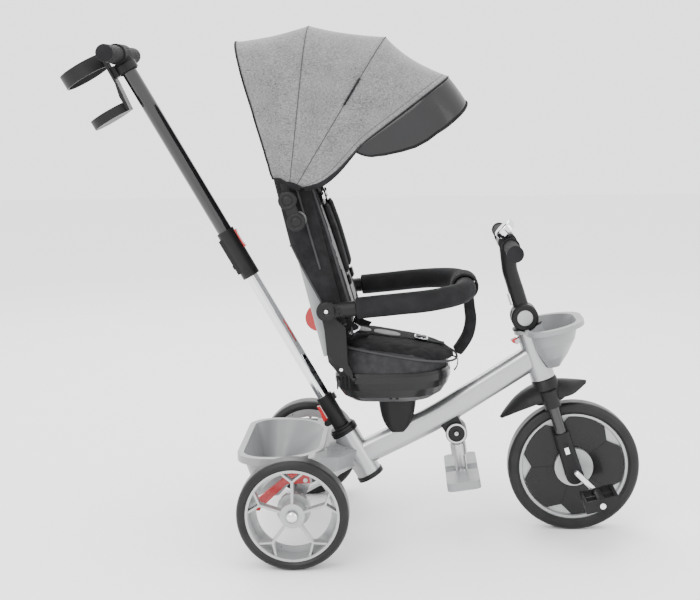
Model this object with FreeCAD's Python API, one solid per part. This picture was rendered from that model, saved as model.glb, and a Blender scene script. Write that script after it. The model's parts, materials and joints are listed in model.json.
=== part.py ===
import FreeCAD, Part
import math
import os

# Children's push tricycle with a swivel seat, canopy, safety bar, push bar and footrest.
# Millimetres. +X is forward, +Y is the rider's left, +Z is up, and Z = 0 is the ground.
# The model is laid out with X = 0 at the rear axle and is moved at the end so that the
# origin is under the middle of its bounding box.

V = FreeCAD.Vector

# ---------------------------------------------------------------- driving dimensions
REAR_WHEEL_R = 102.0
REAR_TYRE_W = 48.0
REAR_TRACK = 453.0
FRONT_WHEEL_R = 127.0
FRONT_TYRE_W = 44.0
WHEELBASE = 529.0
FORK_RAKE = 4.0
HEAD_ANGLE = 17.5              # backward lean of the steering axis
PUSH_ANGLE = 29.7              # backward lean of the push bar
BACK_ANGLE = 14.0              # backward lean of the backrest
BAR_ANGLE = 5.5                # upward slope of the safety bar

RUN_FIT = 0.06                 # radial clearance of a turning or sliding fit
GAP = 0.6                      # space between faces that move past each other

# frame
SPINE_W, SPINE_H = 38.0, 48.0
SPINE_REAR = (110.0, 145.0)
SPINE_BEND = (260.0, 220.0)
SPINE_BEND_R = 900.0
SPINE_HEAD_HEIGHT = 231.0      # where the main tube meets the steering axis
HEAD_TUBE_R = 24.0
HEAD_TUBE_WALL = 3.0
HEAD_TUBE_LOW = 183.0          # along the steering axis, from the wheel centre
HEAD_TUBE_LEN = 97.0
SOCKET_TOP = (86.0, 192.0)
SOCKET_R = 25.0
SOCKET_WALL = 3.0
SOCKET_LEN = 92.0
AXLE_R = 5.0
CROSS_TUBE_R = 13.0
CROSS_TUBE_HALF = 171.0
STAY_R = 11.0

# push bar, along its own axis from the top of the socket tube
COLLAR_R, COLLAR_H = 27.0, 12.0
SLEEVE_R, SLEEVE_TOP = 16.0, 85.0
LOWER_TUBE_R = 12.5
UPPER_TUBE_R = 14.5
CONNECTOR_R = 17.5
CONNECTOR_LOW, CONNECTOR_HIGH = 358.0, 458.0
LOWER_TUBE_TOP = 590.0
HANDLE_HEIGHT = 844.0
HANDLE_HUB_R = 19.5
HANDLE_GRIP_R = 16.0
HANDLE_HALF = 130.0
PUSH_TRAVEL = 200.0

# cup holder, beside the push bar
CUP_OFFSET = 74.0
CUP_RING_R, CUP_RING_H = 45.0, 27.0
CUP_RING_LOW = 836.0
CUP_BASE_R, CUP_BASE_H = 39.0, 18.0
CUP_BASE_LOW = 745.0
CUP_WALL = 3.5

# handlebar, along the steering axis from the wheel centre
STEM_PIVOT_HEIGHT = 309.0
STEM_BALL_R = 26.0
STEM_HALF_W = 22.0
STEM_R = 15.0
STEM_SEAM = 369.0
STEM_TRAVEL = 30.0
BAR_CENTRE = (398.0, 566.0)
HANDLEBAR_R = 8.0
HANDLEBAR_HALF = 205.0
GRIP_R, GRIP_FLANGE_R = 13.5, 15.0
GRIP_LEN = 105.0
BELL_R, BELL_T = 20.5, 12.0

# seat
SWIVEL_X = 188.0
PEDESTAL_TOP = 268.0
PEDESTAL_LOW = 198.0
SWIVEL_PIN_R = 20.0
SEAT_REAR, SEAT_FRONT, SEAT_HALF_W = 72.0, 290.0, 124.0
SEAT_LOW, SEAT_RIM = 272.0, 334.0
SEAT_WALL = 4.0
SEAT_PAD_TOP = 392.0
SEAT_PAD_SLOPE = 10.0           # forward fall of the cushion
POST_T = 13.0
BACK_PIVOT = (71.0, 380.0)
BACK_HALF_W = 122.0
BACK_SHELL_LEN = 315.0
BACK_PAD_LEN = 330.0
BACK_PIN_R = 4.0
SAFETY_PIVOT = (60.8, 457.2)
SAFETY_REACH = 258.0
SAFETY_HALF = 141.0
SAFETY_CORNER_R = 95.0
SAFETY_TUBE_R = 9.0
FOAM_R = 20.0
SEAT_REAR_CORNER_R = 46.0
SWIVEL_CLEARANCE = 3.0         # between the turning seat and the push bar

# canopy: a fan of bows about one lateral pin, each panel outside the one behind it
CANOPY_LOW_V = 250.0           # height of the lower joint along the backrest
CANOPY_LINK = (-15.0, 38.3)    # from the lower joint to the bows' pin
CANOPY_PIN_R = 5.0
CANOPY_HALF_W = 150.5
FABRIC_T = 2.5
FABRIC_GAP = 0.8
CANOPY_BOW_ANGLES = (108.8, 83.1, 58.4, 36.7)
CANOPY_BOW_R = (298.0, 311.0, 337.0, 361.0)
VISOR_ANGLE = 27.9
CANOPY_CORNER_R = 75.0
CANOPY_SIDE_R = 34.0           # where the fabric's side begins
CANOPY_LINK_T = 11.0

# footrest
FOOT_PIVOT = (302.0, 194.0)
FOOT_DISC_R = 21.0
FOOT_STEM_R = 12.0
FOOT_LEN = 92.0
FOOT_PAD_X, FOOT_PAD_Y, FOOT_PAD_T = 64.0, 88.0, 16.0
FOOT_HINGE_Y = 22.0            # the pads' hinge pins, beside the stem
FOOT_YOKE_HALF = 9.0
FOOT_PIN_R = 4.0

# rear basket
TUB_REAR, TUB_FRONT, TUB_HALF_W = -106.0, 44.0, 146.0
TUB_FRONT_R = 88.0
TUB_RIM = 182.0
TUB_FLOOR = 92.0
TUB_WALL = 3.0

# front basket, from the steering axis
BASKET_RIM = 289.0
BASKET_DEPTH = 84.0
BASKET_WALL = 3.0


# ---------------------------------------------------------------- helpers
def rotation(angle):
    """A turn about the lateral axis: local Z leans back by angle."""
    return FreeCAD.Rotation(V(0, 1, 0), -angle)


def frame_at(x, z, angle):
    return FreeCAD.Placement(V(x, 0, z), rotation(angle))


def placed(shape, placement):
    """A copy of shape, moved from a leaning frame into the tricycle's frame."""
    copy = shape.copy()
    copy.transformShape(placement.toMatrix(), True)
    return copy


def cyl(radius, base, axis, length):
    return Part.makeCylinder(radius, length, V(*base), V(*axis))


def cyl_y(radius, x, z, y0, y1):
    """A lateral cylinder from y0 to y1."""
    return Part.makeCylinder(radius, y1 - y0, V(x, y0, z), V(0, 1, 0))


def cyl_z(radius, z0, z1, x=0.0, y=0.0):
    return Part.makeCylinder(radius, z1 - z0, V(x, y, z0), V(0, 0, 1))


def ring_z(outer, inner, z0, z1, x=0.0, y=0.0):
    return cyl_z(outer, z0, z1, x, y).cut(cyl_z(inner, z0 - 1, z1 + 1, x, y))


def ring_y(outer, inner, x, z, y0, y1):
    return cyl_y(outer, x, z, y0, y1).cut(cyl_y(inner, x, z, y0 - 1, y1 + 1))


def box(x0, x1, y0, y1, z0, z1):
    return Part.makeBox(x1 - x0, y1 - y0, z1 - z0, V(x0, y0, z0))


def plate(points, y0, y1):
    """A flat plate with the given (x, z) outline, from y0 to y1."""
    corners = [V(x, y0, z) for x, z in points]
    face = Part.Face(Part.makePolygon(corners + corners[:1]))
    return face.extrude(V(0, y1 - y0, 0))


def mirrored(shape):
    return shape.mirror(V(0, 0, 0), V(0, 1, 0))


def both_sides(shape):
    """The shape and its mirror image, as two separate solids."""
    return Part.makeCompound([shape, mirrored(shape)])


def fused(*shapes):
    result = shapes[0]
    for shape in shapes[1:]:
        result = result.fuse(shape)
    return result.removeSplitter()


def rounded_path(points, radius, closed=False):
    """Straight runs through points, joined by tangent arcs of one radius (or one per point)."""
    count = len(points)
    radii = radius if isinstance(radius, (list, tuple)) else [radius] * count
    ends = []
    for i, point in enumerate(points):
        if not closed and i in (0, count - 1):
            ends.append((point, None, point))
            continue
        back = (points[i - 1] - point).normalize()
        ahead = (points[(i + 1) % count] - point).normalize()
        half = back.getAngle(ahead) / 2
        if radii[i] <= 0 or abs(half - math.pi / 2) < 1e-6:
            ends.append((point, None, point))
            continue
        reach = radii[i] / math.tan(half)
        centre = point + (back + ahead).normalize() * (radii[i] / math.sin(half))
        middle = centre + (point - centre).normalize() * radii[i]
        ends.append((point + back * reach, middle, point + ahead * reach))
    edges = []
    last = count if closed else count - 1
    for i in range(count):
        start, middle, end = ends[i]
        if middle is not None:
            edges.append(Part.Arc(start, middle, end).toShape())
        if i < last:
            following = ends[(i + 1) % count][0]
            if (following - end).Length > 1e-6:
                edges.append(Part.LineSegment(end, following).toShape())
    return Part.Wire(edges)


def swept(path, section):
    """A solid swept along a smooth path; section is a closed wire at the path's start."""
    return path.makePipeShell([section], True, False)


def round_bar(points, bar_r, bend_r):
    """A round bar along rounded runs."""
    heading = points[1] - points[0]
    circle = Part.Wire(Part.makeCircle(bar_r, points[0], heading))
    return swept(rounded_path(points, bend_r), circle)


def rounded_rect(x0, x1, half_w, z, rear_r, front_r):
    """A closed wire in a level plane, symmetric about Y = 0."""
    corners = [V(x0, -half_w, z), V(x1, -half_w, z), V(x1, half_w, z), V(x0, half_w, z)]
    return rounded_path(corners, [rear_r, front_r, front_r, rear_r], closed=True)


def turned(profile, x, z, y=0.0):
    """A solid of revolution about a lateral axis; profile is a list of (radius, y)."""
    corners = [V(x, y + side, z + radius) for radius, side in profile]
    face = Part.Face(Part.makePolygon(corners + corners[:1]))
    return face.revolve(V(x, y, z), V(0, 1, 0), 360)


def around(shape, x, z, count, first=0.0):
    """Copies of shape turned about the lateral axis through (x, z)."""
    copies = []
    for i in range(count):
        copy = shape.copy()
        copy.rotate(V(x, 0, z), V(0, 1, 0), -(first + i * 360.0 / count))
        copies.append(copy)
    return copies


# ---------------------------------------------------------------- leaning frames
HEAD_TILT = math.radians(HEAD_ANGLE)
WHEEL_CENTRE = (WHEELBASE, FRONT_WHEEL_R)
STEER_BASE = (WHEELBASE - FORK_RAKE * math.cos(HEAD_TILT),
              FRONT_WHEEL_R - FORK_RAKE * math.sin(HEAD_TILT))
STEER = frame_at(*STEER_BASE, HEAD_ANGLE)
PUSH = frame_at(*SOCKET_TOP, PUSH_ANGLE)
BACK = frame_at(*BACK_PIVOT, BACK_ANGLE)
SAFETY = FreeCAD.Placement(V(SAFETY_PIVOT[0], 0, SAFETY_PIVOT[1]), rotation(BAR_ANGLE))
STEM_PIVOT = STEER.multVec(V(0, 0, STEM_PIVOT_HEIGHT))
CANOPY_LOW = BACK.multVec(V(0, 0, CANOPY_LOW_V))
CANOPY_PIN = CANOPY_LOW + V(CANOPY_LINK[0], 0, CANOPY_LINK[1])
HUB_STEP = FABRIC_T + FABRIC_GAP
LINK_INNER = CANOPY_HALF_W + 3 * HUB_STEP + FABRIC_GAP
LINK_OUTER = LINK_INNER + CANOPY_LINK_T
REAR_WHEEL_Y = REAR_TRACK / 2
REAR_WHEEL_INNER = REAR_WHEEL_Y - REAR_TYRE_W / 2


# ---------------------------------------------------------------- frame
def spine_solid(extra=0.0):
    """The main tube's outside, or that outside grown by extra."""
    head = STEER.multVec(V(0, 0, SPINE_HEAD_HEIGHT))
    points = [V(SPINE_REAR[0], 0, SPINE_REAR[1]), V(SPINE_BEND[0], 0, SPINE_BEND[1]), head]
    path = rounded_path(points, SPINE_BEND_R)
    along = (points[1] - points[0]).normalize()
    up = V(-along.z, 0, along.x)
    half_w, half_h = SPINE_W / 2 + extra, SPINE_H / 2 + extra
    corners = [points[0] + V(0, y, 0) + up * z
               for y, z in ((-half_w, -half_h), (half_w, -half_h), (half_w, half_h),
                            (-half_w, half_h))]
    section = rounded_path(corners, half_w * 0.82, closed=True)
    return swept(path, section)


def head_tube_cylinder(radius, low=HEAD_TUBE_LOW, high=HEAD_TUBE_LOW + HEAD_TUBE_LEN):
    return placed(cyl_z(radius, low, high), STEER)


def socket_cylinder(radius, low=-SOCKET_LEN, high=0.0):
    return placed(cyl_z(radius, low, high), PUSH)


def main_frame():
    tubes = fused(spine_solid(), head_tube_cylinder(HEAD_TUBE_R), socket_cylinder(SOCKET_R))
    wall = 2.5
    hollow = spine_solid(-wall)
    hollow = hollow.cut(head_tube_cylinder(HEAD_TUBE_R)).cut(socket_cylinder(SOCKET_R))
    bores = fused(head_tube_cylinder(HEAD_TUBE_R - HEAD_TUBE_WALL, HEAD_TUBE_LOW - 5,
                                     HEAD_TUBE_LOW + HEAD_TUBE_LEN + 5),
                  socket_cylinder(SOCKET_R - SOCKET_WALL, -SOCKET_LEN - 5, 5))
    stub = HEAD_TUBE_R * 1.6
    beyond = head_tube_cylinder(stub).cut(head_tube_cylinder(HEAD_TUBE_R - 1))
    forward = placed(box(0, 60, -40, 40, HEAD_TUBE_LOW, HEAD_TUBE_LOW + HEAD_TUBE_LEN), STEER)
    body = tubes.cut(bores).cut(hollow)
    return body.cut(beyond.common(forward))


def rear_stays():
    cross = cyl_y(CROSS_TUBE_R, 0, REAR_WHEEL_R, -CROSS_TUBE_HALF, CROSS_TUBE_HALF)
    joint = PUSH.multVec(V(0, 0, -SOCKET_LEN * 0.62))
    parts = [cross]
    for side in (-1, 1):
        foot = V(0, side * 92.0, REAR_WHEEL_R)
        along = foot - joint
        parts.append(Part.makeCylinder(STAY_R, along.Length, joint, along))
        bracket = plate([(-10, REAR_WHEEL_R), (12, REAR_WHEEL_R), (30, 143), (30, 158),
                         (12, 158)], 0, 5.0)
        bracket.translate(V(0, 166.0 if side > 0 else -171.0, 0))
        parts.append(bracket)
        y0 = 170.0 if side > 0 else -185.0
        parts.append(cyl_y(BRAKE_PIN_R, BRAKE_PIVOT[0], BRAKE_PIVOT[1], y0, y0 + 15.0))
    welded = fused(*parts)
    welded = welded.cut(cyl_y(AXLE_R + RUN_FIT, 0, REAR_WHEEL_R, -200, 200))
    welded = welded.cut(socket_cylinder(SOCKET_R))
    return welded.cut(spine_solid())


def rear_axle():
    reach = REAR_WHEEL_Y + REAR_TYRE_W / 2 - 7.0
    rod = cyl_y(AXLE_R, 0, REAR_WHEEL_R, -reach, reach)
    collars = [ring_y(9.0, AXLE_R, 0, REAR_WHEEL_R, side * 176.0 - 2.5, side * 176.0 + 2.5)
               for side in (-1, 1)]
    return fused(rod, *collars)


def frame_bushes():
    """The socket's ribbed collar, its end cap, and the two bushes in the head tube."""
    bore = SOCKET_R - SOCKET_WALL
    spigot = SLEEVE_R + 3.0
    collar = fused(ring_z(COLLAR_R, spigot, 0, COLLAR_H * 0.42),
                   ring_z(COLLAR_R - 2.0, spigot, COLLAR_H * 0.42, COLLAR_H * 0.58),
                   ring_z(COLLAR_R, spigot, COLLAR_H * 0.58, COLLAR_H),
                   ring_z(bore, spigot, -20, 0))
    cap = fused(cyl_z(SOCKET_R + 2.0, -SOCKET_LEN - 9.0, -SOCKET_LEN),
                ring_z(bore, bore - 4.0, -SOCKET_LEN, -SOCKET_LEN + 12.0))
    solids = [placed(collar, PUSH), placed(cap, PUSH)]
    inner = HEAD_TUBE_R - HEAD_TUBE_WALL
    for low in (HEAD_TUBE_LOW, HEAD_TUBE_LOW + HEAD_TUBE_LEN - 14.0):
        solids.append(placed(ring_z(inner, STEERER_R + RUN_FIT, low, low + 14.0), STEER))
    return Part.makeCompound(solids)


def seat_pedestal():
    tiers = [(PEDESTAL_TOP, 38.0, 34.0), (PEDESTAL_TOP - 12.0, 36.0, 33.0),
             (215.0, 26.0, 28.0), (PEDESTAL_LOW, 13.0, 24.0)]
    wires = []
    for height, half_x, half_y in tiers:
        wires.append(rounded_rect(SWIVEL_X - half_x, SWIVEL_X + half_x, half_y, height,
                                  half_x * 0.6, half_x * 0.6))
    body = Part.makeLoft(wires, True, False)
    socket = cyl_z(SWIVEL_PIN_R + RUN_FIT, 236.0, PEDESTAL_TOP + 1, SWIVEL_X)
    return body.cut(socket).cut(spine_solid())


def rear_basket():
    rim = rounded_rect(TUB_REAR, TUB_FRONT, TUB_HALF_W, TUB_RIM, 48, TUB_FRONT_R)
    floor = rounded_rect(-82.0, -36.0, 96.0, TUB_FLOOR, 18, 18)
    outside = Part.makeLoft([rim, floor], True, True)
    inner_rim = rounded_rect(TUB_REAR + TUB_WALL, TUB_FRONT - TUB_WALL, TUB_HALF_W - TUB_WALL,
                             TUB_RIM + 2.0, 45, TUB_FRONT_R - TUB_WALL)
    inner_floor = rounded_rect(-82.0 + TUB_WALL, -36.0 - TUB_WALL, 96.0 - TUB_WALL,
                               TUB_FLOOR + TUB_WALL, 15, 15)
    inside = Part.makeLoft([inner_rim, inner_floor], True, True)
    lip_out = Part.Face(rounded_rect(TUB_REAR - 8, TUB_FRONT + 4, TUB_HALF_W + 9, TUB_RIM - 14,
                                     54, TUB_FRONT_R + 4)).extrude(V(0, 0, 14))
    lip_in = Part.Face(rounded_rect(TUB_REAR - 5, TUB_FRONT + 1, TUB_HALF_W + 6, TUB_RIM - 15,
                                    51, TUB_FRONT_R + 1)).extrude(V(0, 0, 12))
    outline = [V(-34, -154, 0), V(34, -150, 0), V(80, -102, 0), V(112, -26, 0), V(112, 26, 0),
               V(80, 102, 0), V(34, 150, 0), V(-34, 154, 0)]
    wire = rounded_path(outline, [2, 30, 26, 16, 16, 26, 30, 2], closed=True)
    flange = Part.Face(wire).extrude(V(0, 0, 30))
    under = wire.makeOffset2D(-3.0)
    flange = flange.cut(Part.Face(under).extrude(V(0, 0, 27)))
    bumps = []
    for row in range(3):
        for column in range(3):
            x = 62.0 + 13.0 * column - 7.0 * row
            y = -34.0 - 23.0 * row
            bumps.append(cyl_z(3.0, 29.0, 31.4, x, y))
    flange = fused(flange, *bumps)
    flange.translate(V(0, 0, -30))
    flange.rotate(V(34, 0, 0), V(0, 1, 0), 15.0)
    flange.translate(V(0, 0, TUB_RIM))
    flange = flange.cut(box(-60, 200, -200, 200, TUB_RIM, TUB_RIM + 60))
    tub = fused(outside, lip_out.cut(lip_in), flange).cut(inside)
    clear = 0.5
    tub = tub.cut(socket_cylinder(SOCKET_R + clear, -SOCKET_LEN - 20, 0.0))
    tub = tub.cut(socket_cylinder(COLLAR_R + 3.0, 0.0, 90.0))
    tub = tub.cut(cyl_y(CROSS_TUBE_R + clear, 0, REAR_WHEEL_R, -210, 210))
    for side in (-1, 1):
        joint = PUSH.multVec(V(0, 0, -SOCKET_LEN * 0.62))
        foot = V(0, side * 92.0, REAR_WHEEL_R)
        along = foot - joint
        tub = tub.cut(Part.makeCylinder(STAY_R + clear, along.Length, joint, along))
    return max(tub.Solids, key=lambda solid: solid.Volume)


def footrest_bracket():
    x, z = FOOT_PIVOT
    tilt = math.radians(30.0)
    top = []
    for dx, dz in ((-17, -4), (-20, 60), (20, 60), (18, 2)):
        top.append((x + dx * math.cos(tilt) - dz * math.sin(tilt),
                    z + dx * math.sin(tilt) + dz * math.cos(tilt)))
    body = fused(plate(top, -17.0, 17.0), cyl_y(FOOT_DISC_R, x, z, -21.0, 21.0))
    slot = fused(cyl_y(FOOT_DISC_R - 3.0, x, z, -FOOT_HUB_HALF, FOOT_HUB_HALF),
                 box(x - 60, x + 60, -FOOT_HUB_HALF, FOOT_HUB_HALF, z - 60, z))
    rear_opening = box(x - 60, x, -FOOT_HUB_HALF, FOOT_HUB_HALF, z - 60, z + 8)
    pin = cyl_y(6.0, x, z, -21.0, 21.0)
    body = body.cut(slot).cut(rear_opening)
    return fused(body, pin).cut(spine_solid())


def head_lock_lever():
    """A small lever on the back of the head tube, on its own lateral pin."""
    high = HEAD_TUBE_LOW + HEAD_TUBE_LEN
    lever = plate([(-HEAD_TUBE_R - 3, high - 19), (-HEAD_TUBE_R - 3, high - 5),
                   (-HEAD_TUBE_R - 14, high - 7), (-HEAD_TUBE_R - 12, high - 13)], -6, 6)
    lever = lever.cut(cyl_z(HEAD_TUBE_R + GAP, high - 40, high + 10))
    lever = lever.fuse(cyl_y(3.2, -HEAD_TUBE_R - 4.4, high - 12, -6, 6))
    lever = lever.cut(cyl_y(1.5 + RUN_FIT, -HEAD_TUBE_R - 4.4, high - 12, -7, 7))
    return placed(lever.removeSplitter(), STEER)


def head_lock_pin():
    """The lever's pin and its two ears, part of the head tube."""
    high = HEAD_TUBE_LOW + HEAD_TUBE_LEN
    ears = []
    for y0 in (-9.0, 6.5):
        ear = plate([(-HEAD_TUBE_R + 2, high - 17), (-HEAD_TUBE_R + 2, high - 7),
                     (-HEAD_TUBE_R - 7, high - 9), (-HEAD_TUBE_R - 7, high - 15)], y0, y0 + 2.5)
        ears.append(ear)
    pin = cyl_y(1.5, -HEAD_TUBE_R - 4.4, high - 12, -9.0, 9.0)
    return placed(fused(pin, *ears), STEER)


# ---------------------------------------------------------------- steering fork
STEERER_R = 14.0
STEERER_TOP = STEM_PIVOT_HEIGHT - STEM_BALL_R - 1.0
FORK_LEG_R = 11.0
FORK_LEG_Y = 37.0
CROWN_LOW = 148.0
# angle about the wheel, half width, height above the tyre, crown of the section
MUDGUARD_SECTIONS = ((146, 5, 40, 5), (138, 22, 32, 15), (125, 36, 23, 28), (110, 41, 19, 32),
                     (98, 39, 18, 28), (90, 31, 23, 20), (82, 6, 37, 6))
LEG_COVER_TOP = 78.0
CRANK_R = 5.5
BEARING_R = 13.0
BRAKE_PIVOT = (20.0, 150.0)
BRAKE_PIN_R = 4.0
FOOT_HUB_HALF = 12.0


def fork():
    """Steerer, crown bridge and two legs in one welded steel piece."""
    steerer = cyl_z(STEERER_R, CROWN_LOW, STEERER_TOP)
    bridge = box(-14, 14, -FORK_LEG_Y, FORK_LEG_Y, CROWN_LOW - 6, CROWN_LOW + 12)
    legs = [cyl_z(FORK_LEG_R, 14.0, CROWN_LOW + 6, 0, side * FORK_LEG_Y) for side in (-1, 1)]
    return placed(fused(steerer, bridge, *legs), STEER)


def front_mudguard():
    """Crown cone, mudguard arch and the short sleeves over the fork legs, one moulding."""
    low, high = CROWN_LOW + 12.0, HEAD_TUBE_LOW - GAP - 1.0
    sleeve_r = FORK_LEG_R + 5.0
    cone = Part.makeLoft([rounded_box_wire(-29, 29, -44, 44, low - 20, 26),
                          rounded_box_wire(-27, 27, -36, 36, low, 24),
                          rounded_box_wire(-HEAD_TUBE_R, HEAD_TUBE_R, -HEAD_TUBE_R, HEAD_TUBE_R,
                                           high, HEAD_TUBE_R - 0.5)], True, True)
    sleeves = [cyl_z(sleeve_r, 112.0, low + 4, 0, side * FORK_LEG_Y) for side in (-1, 1)]
    hood = fused(cone, *sleeves)
    arch_wires = []
    for degrees, half_w, lift, crown in eased(MUDGUARD_SECTIONS, 3):
        turn = math.radians(degrees - HEAD_ANGLE)
        radius = FRONT_WHEEL_R + lift
        corners = []
        for side, drop in ((-1, 0.0), (-0.6, 0.72), (0.0, 1.0), (0.6, 0.72), (1, 0.0)):
            reach = radius + crown * drop
            corners.append(V(reach * math.cos(turn), side * half_w, reach * math.sin(turn)))
        arch_wires.append(corners)
    outer = Part.makeLoft([arc_strip(corners, 0.0) for corners in arch_wires], True, True)
    inner = Part.makeLoft([arc_strip(corners, -3.0) for corners in arch_wires], True, True)
    arch = outer.cut(inner)
    arch.translate(V(FORK_RAKE, 0, 0))
    shape = fused(hood, arch)
    for side in (-1, 1):
        shape = shape.cut(cyl_z(FORK_LEG_R, 0, CROWN_LOW + 6, 0, side * FORK_LEG_Y))
    shape = shape.cut(cyl_z(STEERER_R, CROWN_LOW - 10, 300))
    shape = shape.cut(box(-14, 14, -FORK_LEG_Y, FORK_LEG_Y, CROWN_LOW - 6, CROWN_LOW + 12))
    shape = shape.cut(cyl_y(FRONT_WHEEL_R + 4.0, FORK_RAKE, 0, -60, 60))
    shape = max(shape.Solids, key=lambda solid: solid.Volume)
    return placed(shape, STEER)


def eased(rows, steps):
    """The rows of a table with steps - 1 smooth rows between each two of them."""
    out = []
    for i in range(len(rows) - 1):
        a, b, c, d = rows[max(i - 1, 0)], rows[i], rows[i + 1], rows[min(i + 2, len(rows) - 1)]
        for step in range(steps):
            t = step / steps
            out.append(tuple(
                0.5 * (2 * q + (r - p) * t + (2 * p - 5 * q + 4 * r - s) * t * t
                       + (3 * q - p - 3 * r + s) * t ** 3) for p, q, r, s in zip(a, b, c, d)))
    return out + [rows[-1]]


def arc_strip(corners, grow):
    """A closed arched section through corners, with its top moved out by grow."""
    outward = V(corners[2].x, 0, corners[2].z).normalize() * grow
    top = [corners[0]] + [corner + outward for corner in corners[1:4]] + [corners[4]]
    curve = Part.BSplineCurve()
    curve.interpolate(top)
    chord = Part.LineSegment(top[-1], top[0]).toShape()
    return Part.Wire([curve.toShape(), chord])


def fork_leg_covers():
    """Lower leg covers with the wheel's bearing bores."""
    solids = []
    for side in (-1, 1):
        y = side * FORK_LEG_Y
        shell = Part.makeLoft([rounded_box_wire(-17, 17, y - 14, y + 14, -8, 9),
                               rounded_box_wire(-15, 15, y - 13.5, y + 13.5, LEG_COVER_TOP, 9)],
                              True, True)
        foot = cyl_y(17.0, 0, -8, y - 14, y + 14)
        cover = fused(shell, foot)
        cover = cover.cut(cyl_z(FORK_LEG_R, 14.0, LEG_COVER_TOP + 5, 0, y))
        cover = cover.cut(cyl_y(CRANK_R + RUN_FIT, FORK_RAKE, 0, y - 20, y + 20))
        if side < 0:
            cover = cover.cut(box(-4.5, 4.5, y - 20, y - 11.5, 36, 60))
        solids.append(placed(cover, STEER))
    return Part.makeCompound(solids)


def rounded_box_wire(x0, x1, y0, y1, z, radius):
    corners = [V(x0, y0, z), V(x1, y0, z), V(x1, y1, z), V(x0, y1, z)]
    return rounded_path(corners, radius, closed=True)


def clutch_slider():
    """The free-wheel selector, in the window of the right leg cover."""
    y = -FORK_LEG_Y
    slider = box(-4.0, 4.0, y - 14.0, y - 11.8, 37.0, 50.0)
    ridge = box(-4.0, 4.0, y - 15.2, y - 13.5, 42.0, 45.0)
    return placed(fused(slider, ridge), STEER)


def basket_loft(inset, extra_top=0.0):
    """The bucket's tapering shape; inset is the distance inside its outer face."""
    tiers = ((0.0, -4, 96, 84, 34, 62), (-34.0, 4, 84, 70, 30, 50), (-62.0, 14, 66, 50, 22, 34),
             (-BASKET_DEPTH, 24, 48, 26, 10, 12))
    wires = []
    for drop, rear, front, half_w, rear_r, front_r in tiers:
        height = BASKET_RIM + drop + (extra_top if drop == 0.0 else 0.0)
        lift = inset if drop == -BASKET_DEPTH else 0.0
        wires.append(rounded_rect(rear + inset, front - inset, half_w - inset, height + lift,
                                  rear_r - inset * 0.8, front_r - inset * 0.8))
    loft = Part.makeLoft(wires, True, True)
    loft.rotate(V(0, 0, BASKET_RIM), V(0, 1, 0), BASKET_TIP)
    return loft


def front_basket():
    """Bucket in front of the head tube, with the collar it hangs from."""
    clear = HEAD_TUBE_R + 1.0
    tube_room = cyl_z(clear, 150, BASKET_COLLAR_LOW)
    lip = Part.Face(rounded_rect(-8, 106, 92, BASKET_RIM - 9, 40, 70)).extrude(V(0, 0, 9))
    under = Part.Face(rounded_rect(-5, 103, 89, BASKET_RIM - 11, 37, 67)).extrude(V(0, 0, 8.5))
    lip = lip.cut(under)
    lip.rotate(V(0, 0, BASKET_RIM), V(0, 1, 0), BASKET_TIP)
    hollow = basket_loft(BASKET_WALL, 4.0).cut(cyl_z(clear + BASKET_WALL, 150, 360))
    collar = cyl_z(clear + BASKET_WALL, BASKET_COLLAR_LOW, BASKET_COLLAR_LOW + 8.0)
    shape = fused(basket_loft(0.0), lip).cut(hollow).cut(cyl_z(clear + 0.5, 150, 360))
    shape = fused(shape, collar)
    shape = shape.cut(tube_room).cut(cyl_z(STEERER_R, 150, 320))
    shape = shape.cut(cyl_z(clear + 6.0, BASKET_COLLAR_LOW + 8.0, 400)).cut(ball_room())
    shape = shape.cut(box(-70, 0, -60, 60, 180, BASKET_COLLAR_LOW))
    return placed(max(shape.Solids, key=lambda solid: solid.Volume), STEER)


BASKET_TIP = 7.0               # forward fall of the basket in the steering frame
BASKET_COLLAR_LOW = HEAD_TUBE_LOW + HEAD_TUBE_LEN + GAP


def ball_room():
    """The round hollow in which the stem's ball turns, in the steering frame."""
    return cyl_y(STEM_BALL_R + GAP, 0, STEM_PIVOT_HEIGHT, -40, 40)


def stem_base():
    """Black saddle on the collar with the tongue that carries the stem's pivot."""
    low = BASKET_COLLAR_LOW + 8.0
    saddle = cyl_z(HEAD_TUBE_R + 5.0, low, low + 4.0).cut(ball_room())
    tongue = fused(box(-12, 12, -TONGUE_HALF, TONGUE_HALF, STEERER_TOP, STEM_PIVOT_HEIGHT),
                   box(-26, 26, -TONGUE_HALF, TONGUE_HALF, low, low + 4.0),
                   cyl_y(16.0, 0, STEM_PIVOT_HEIGHT, -TONGUE_HALF, TONGUE_HALF))
    pin = cyl_y(6.0, 0, STEM_PIVOT_HEIGHT, -13.0, 13.0)
    return placed(fused(saddle, tongue, pin), STEER)


TONGUE_HALF = 7.0


# ---------------------------------------------------------------- front wheel and pedals
RIM_R = 105.0
HUB_DISC_R = 37.0
PANEL_Y0, PANEL_Y1 = 6.0, 11.0
RIM_HALF_W = 15.0
WINDOW_FIRST = 38.0
CRANK_ANGLE = -42.0            # of the right crank arm, above straight ahead
CRANK_LEN = 48.0
CRANK_ARM_Y = 68.0
PEDAL_Y = 118.0


def tyre(wheel_r, rim_r, width, x, z, y=0.0):
    """A solid foam tyre with rounded shoulders."""
    half = width / 2
    crown = half * 0.55
    profile = [(rim_r, -half * 0.86), (rim_r + 5, -half), (wheel_r - 11, -half)]
    for step in range(1, 6):
        angle = math.pi / 2 * step / 6
        profile.append((wheel_r - 11 + 11 * math.sin(angle),
                        -half + (half - crown) * (1 - math.cos(angle))))
    profile.append((wheel_r, -crown))
    profile += [(radius, -side) for radius, side in reversed(profile)]
    return turned(profile, x, z, y)


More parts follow.
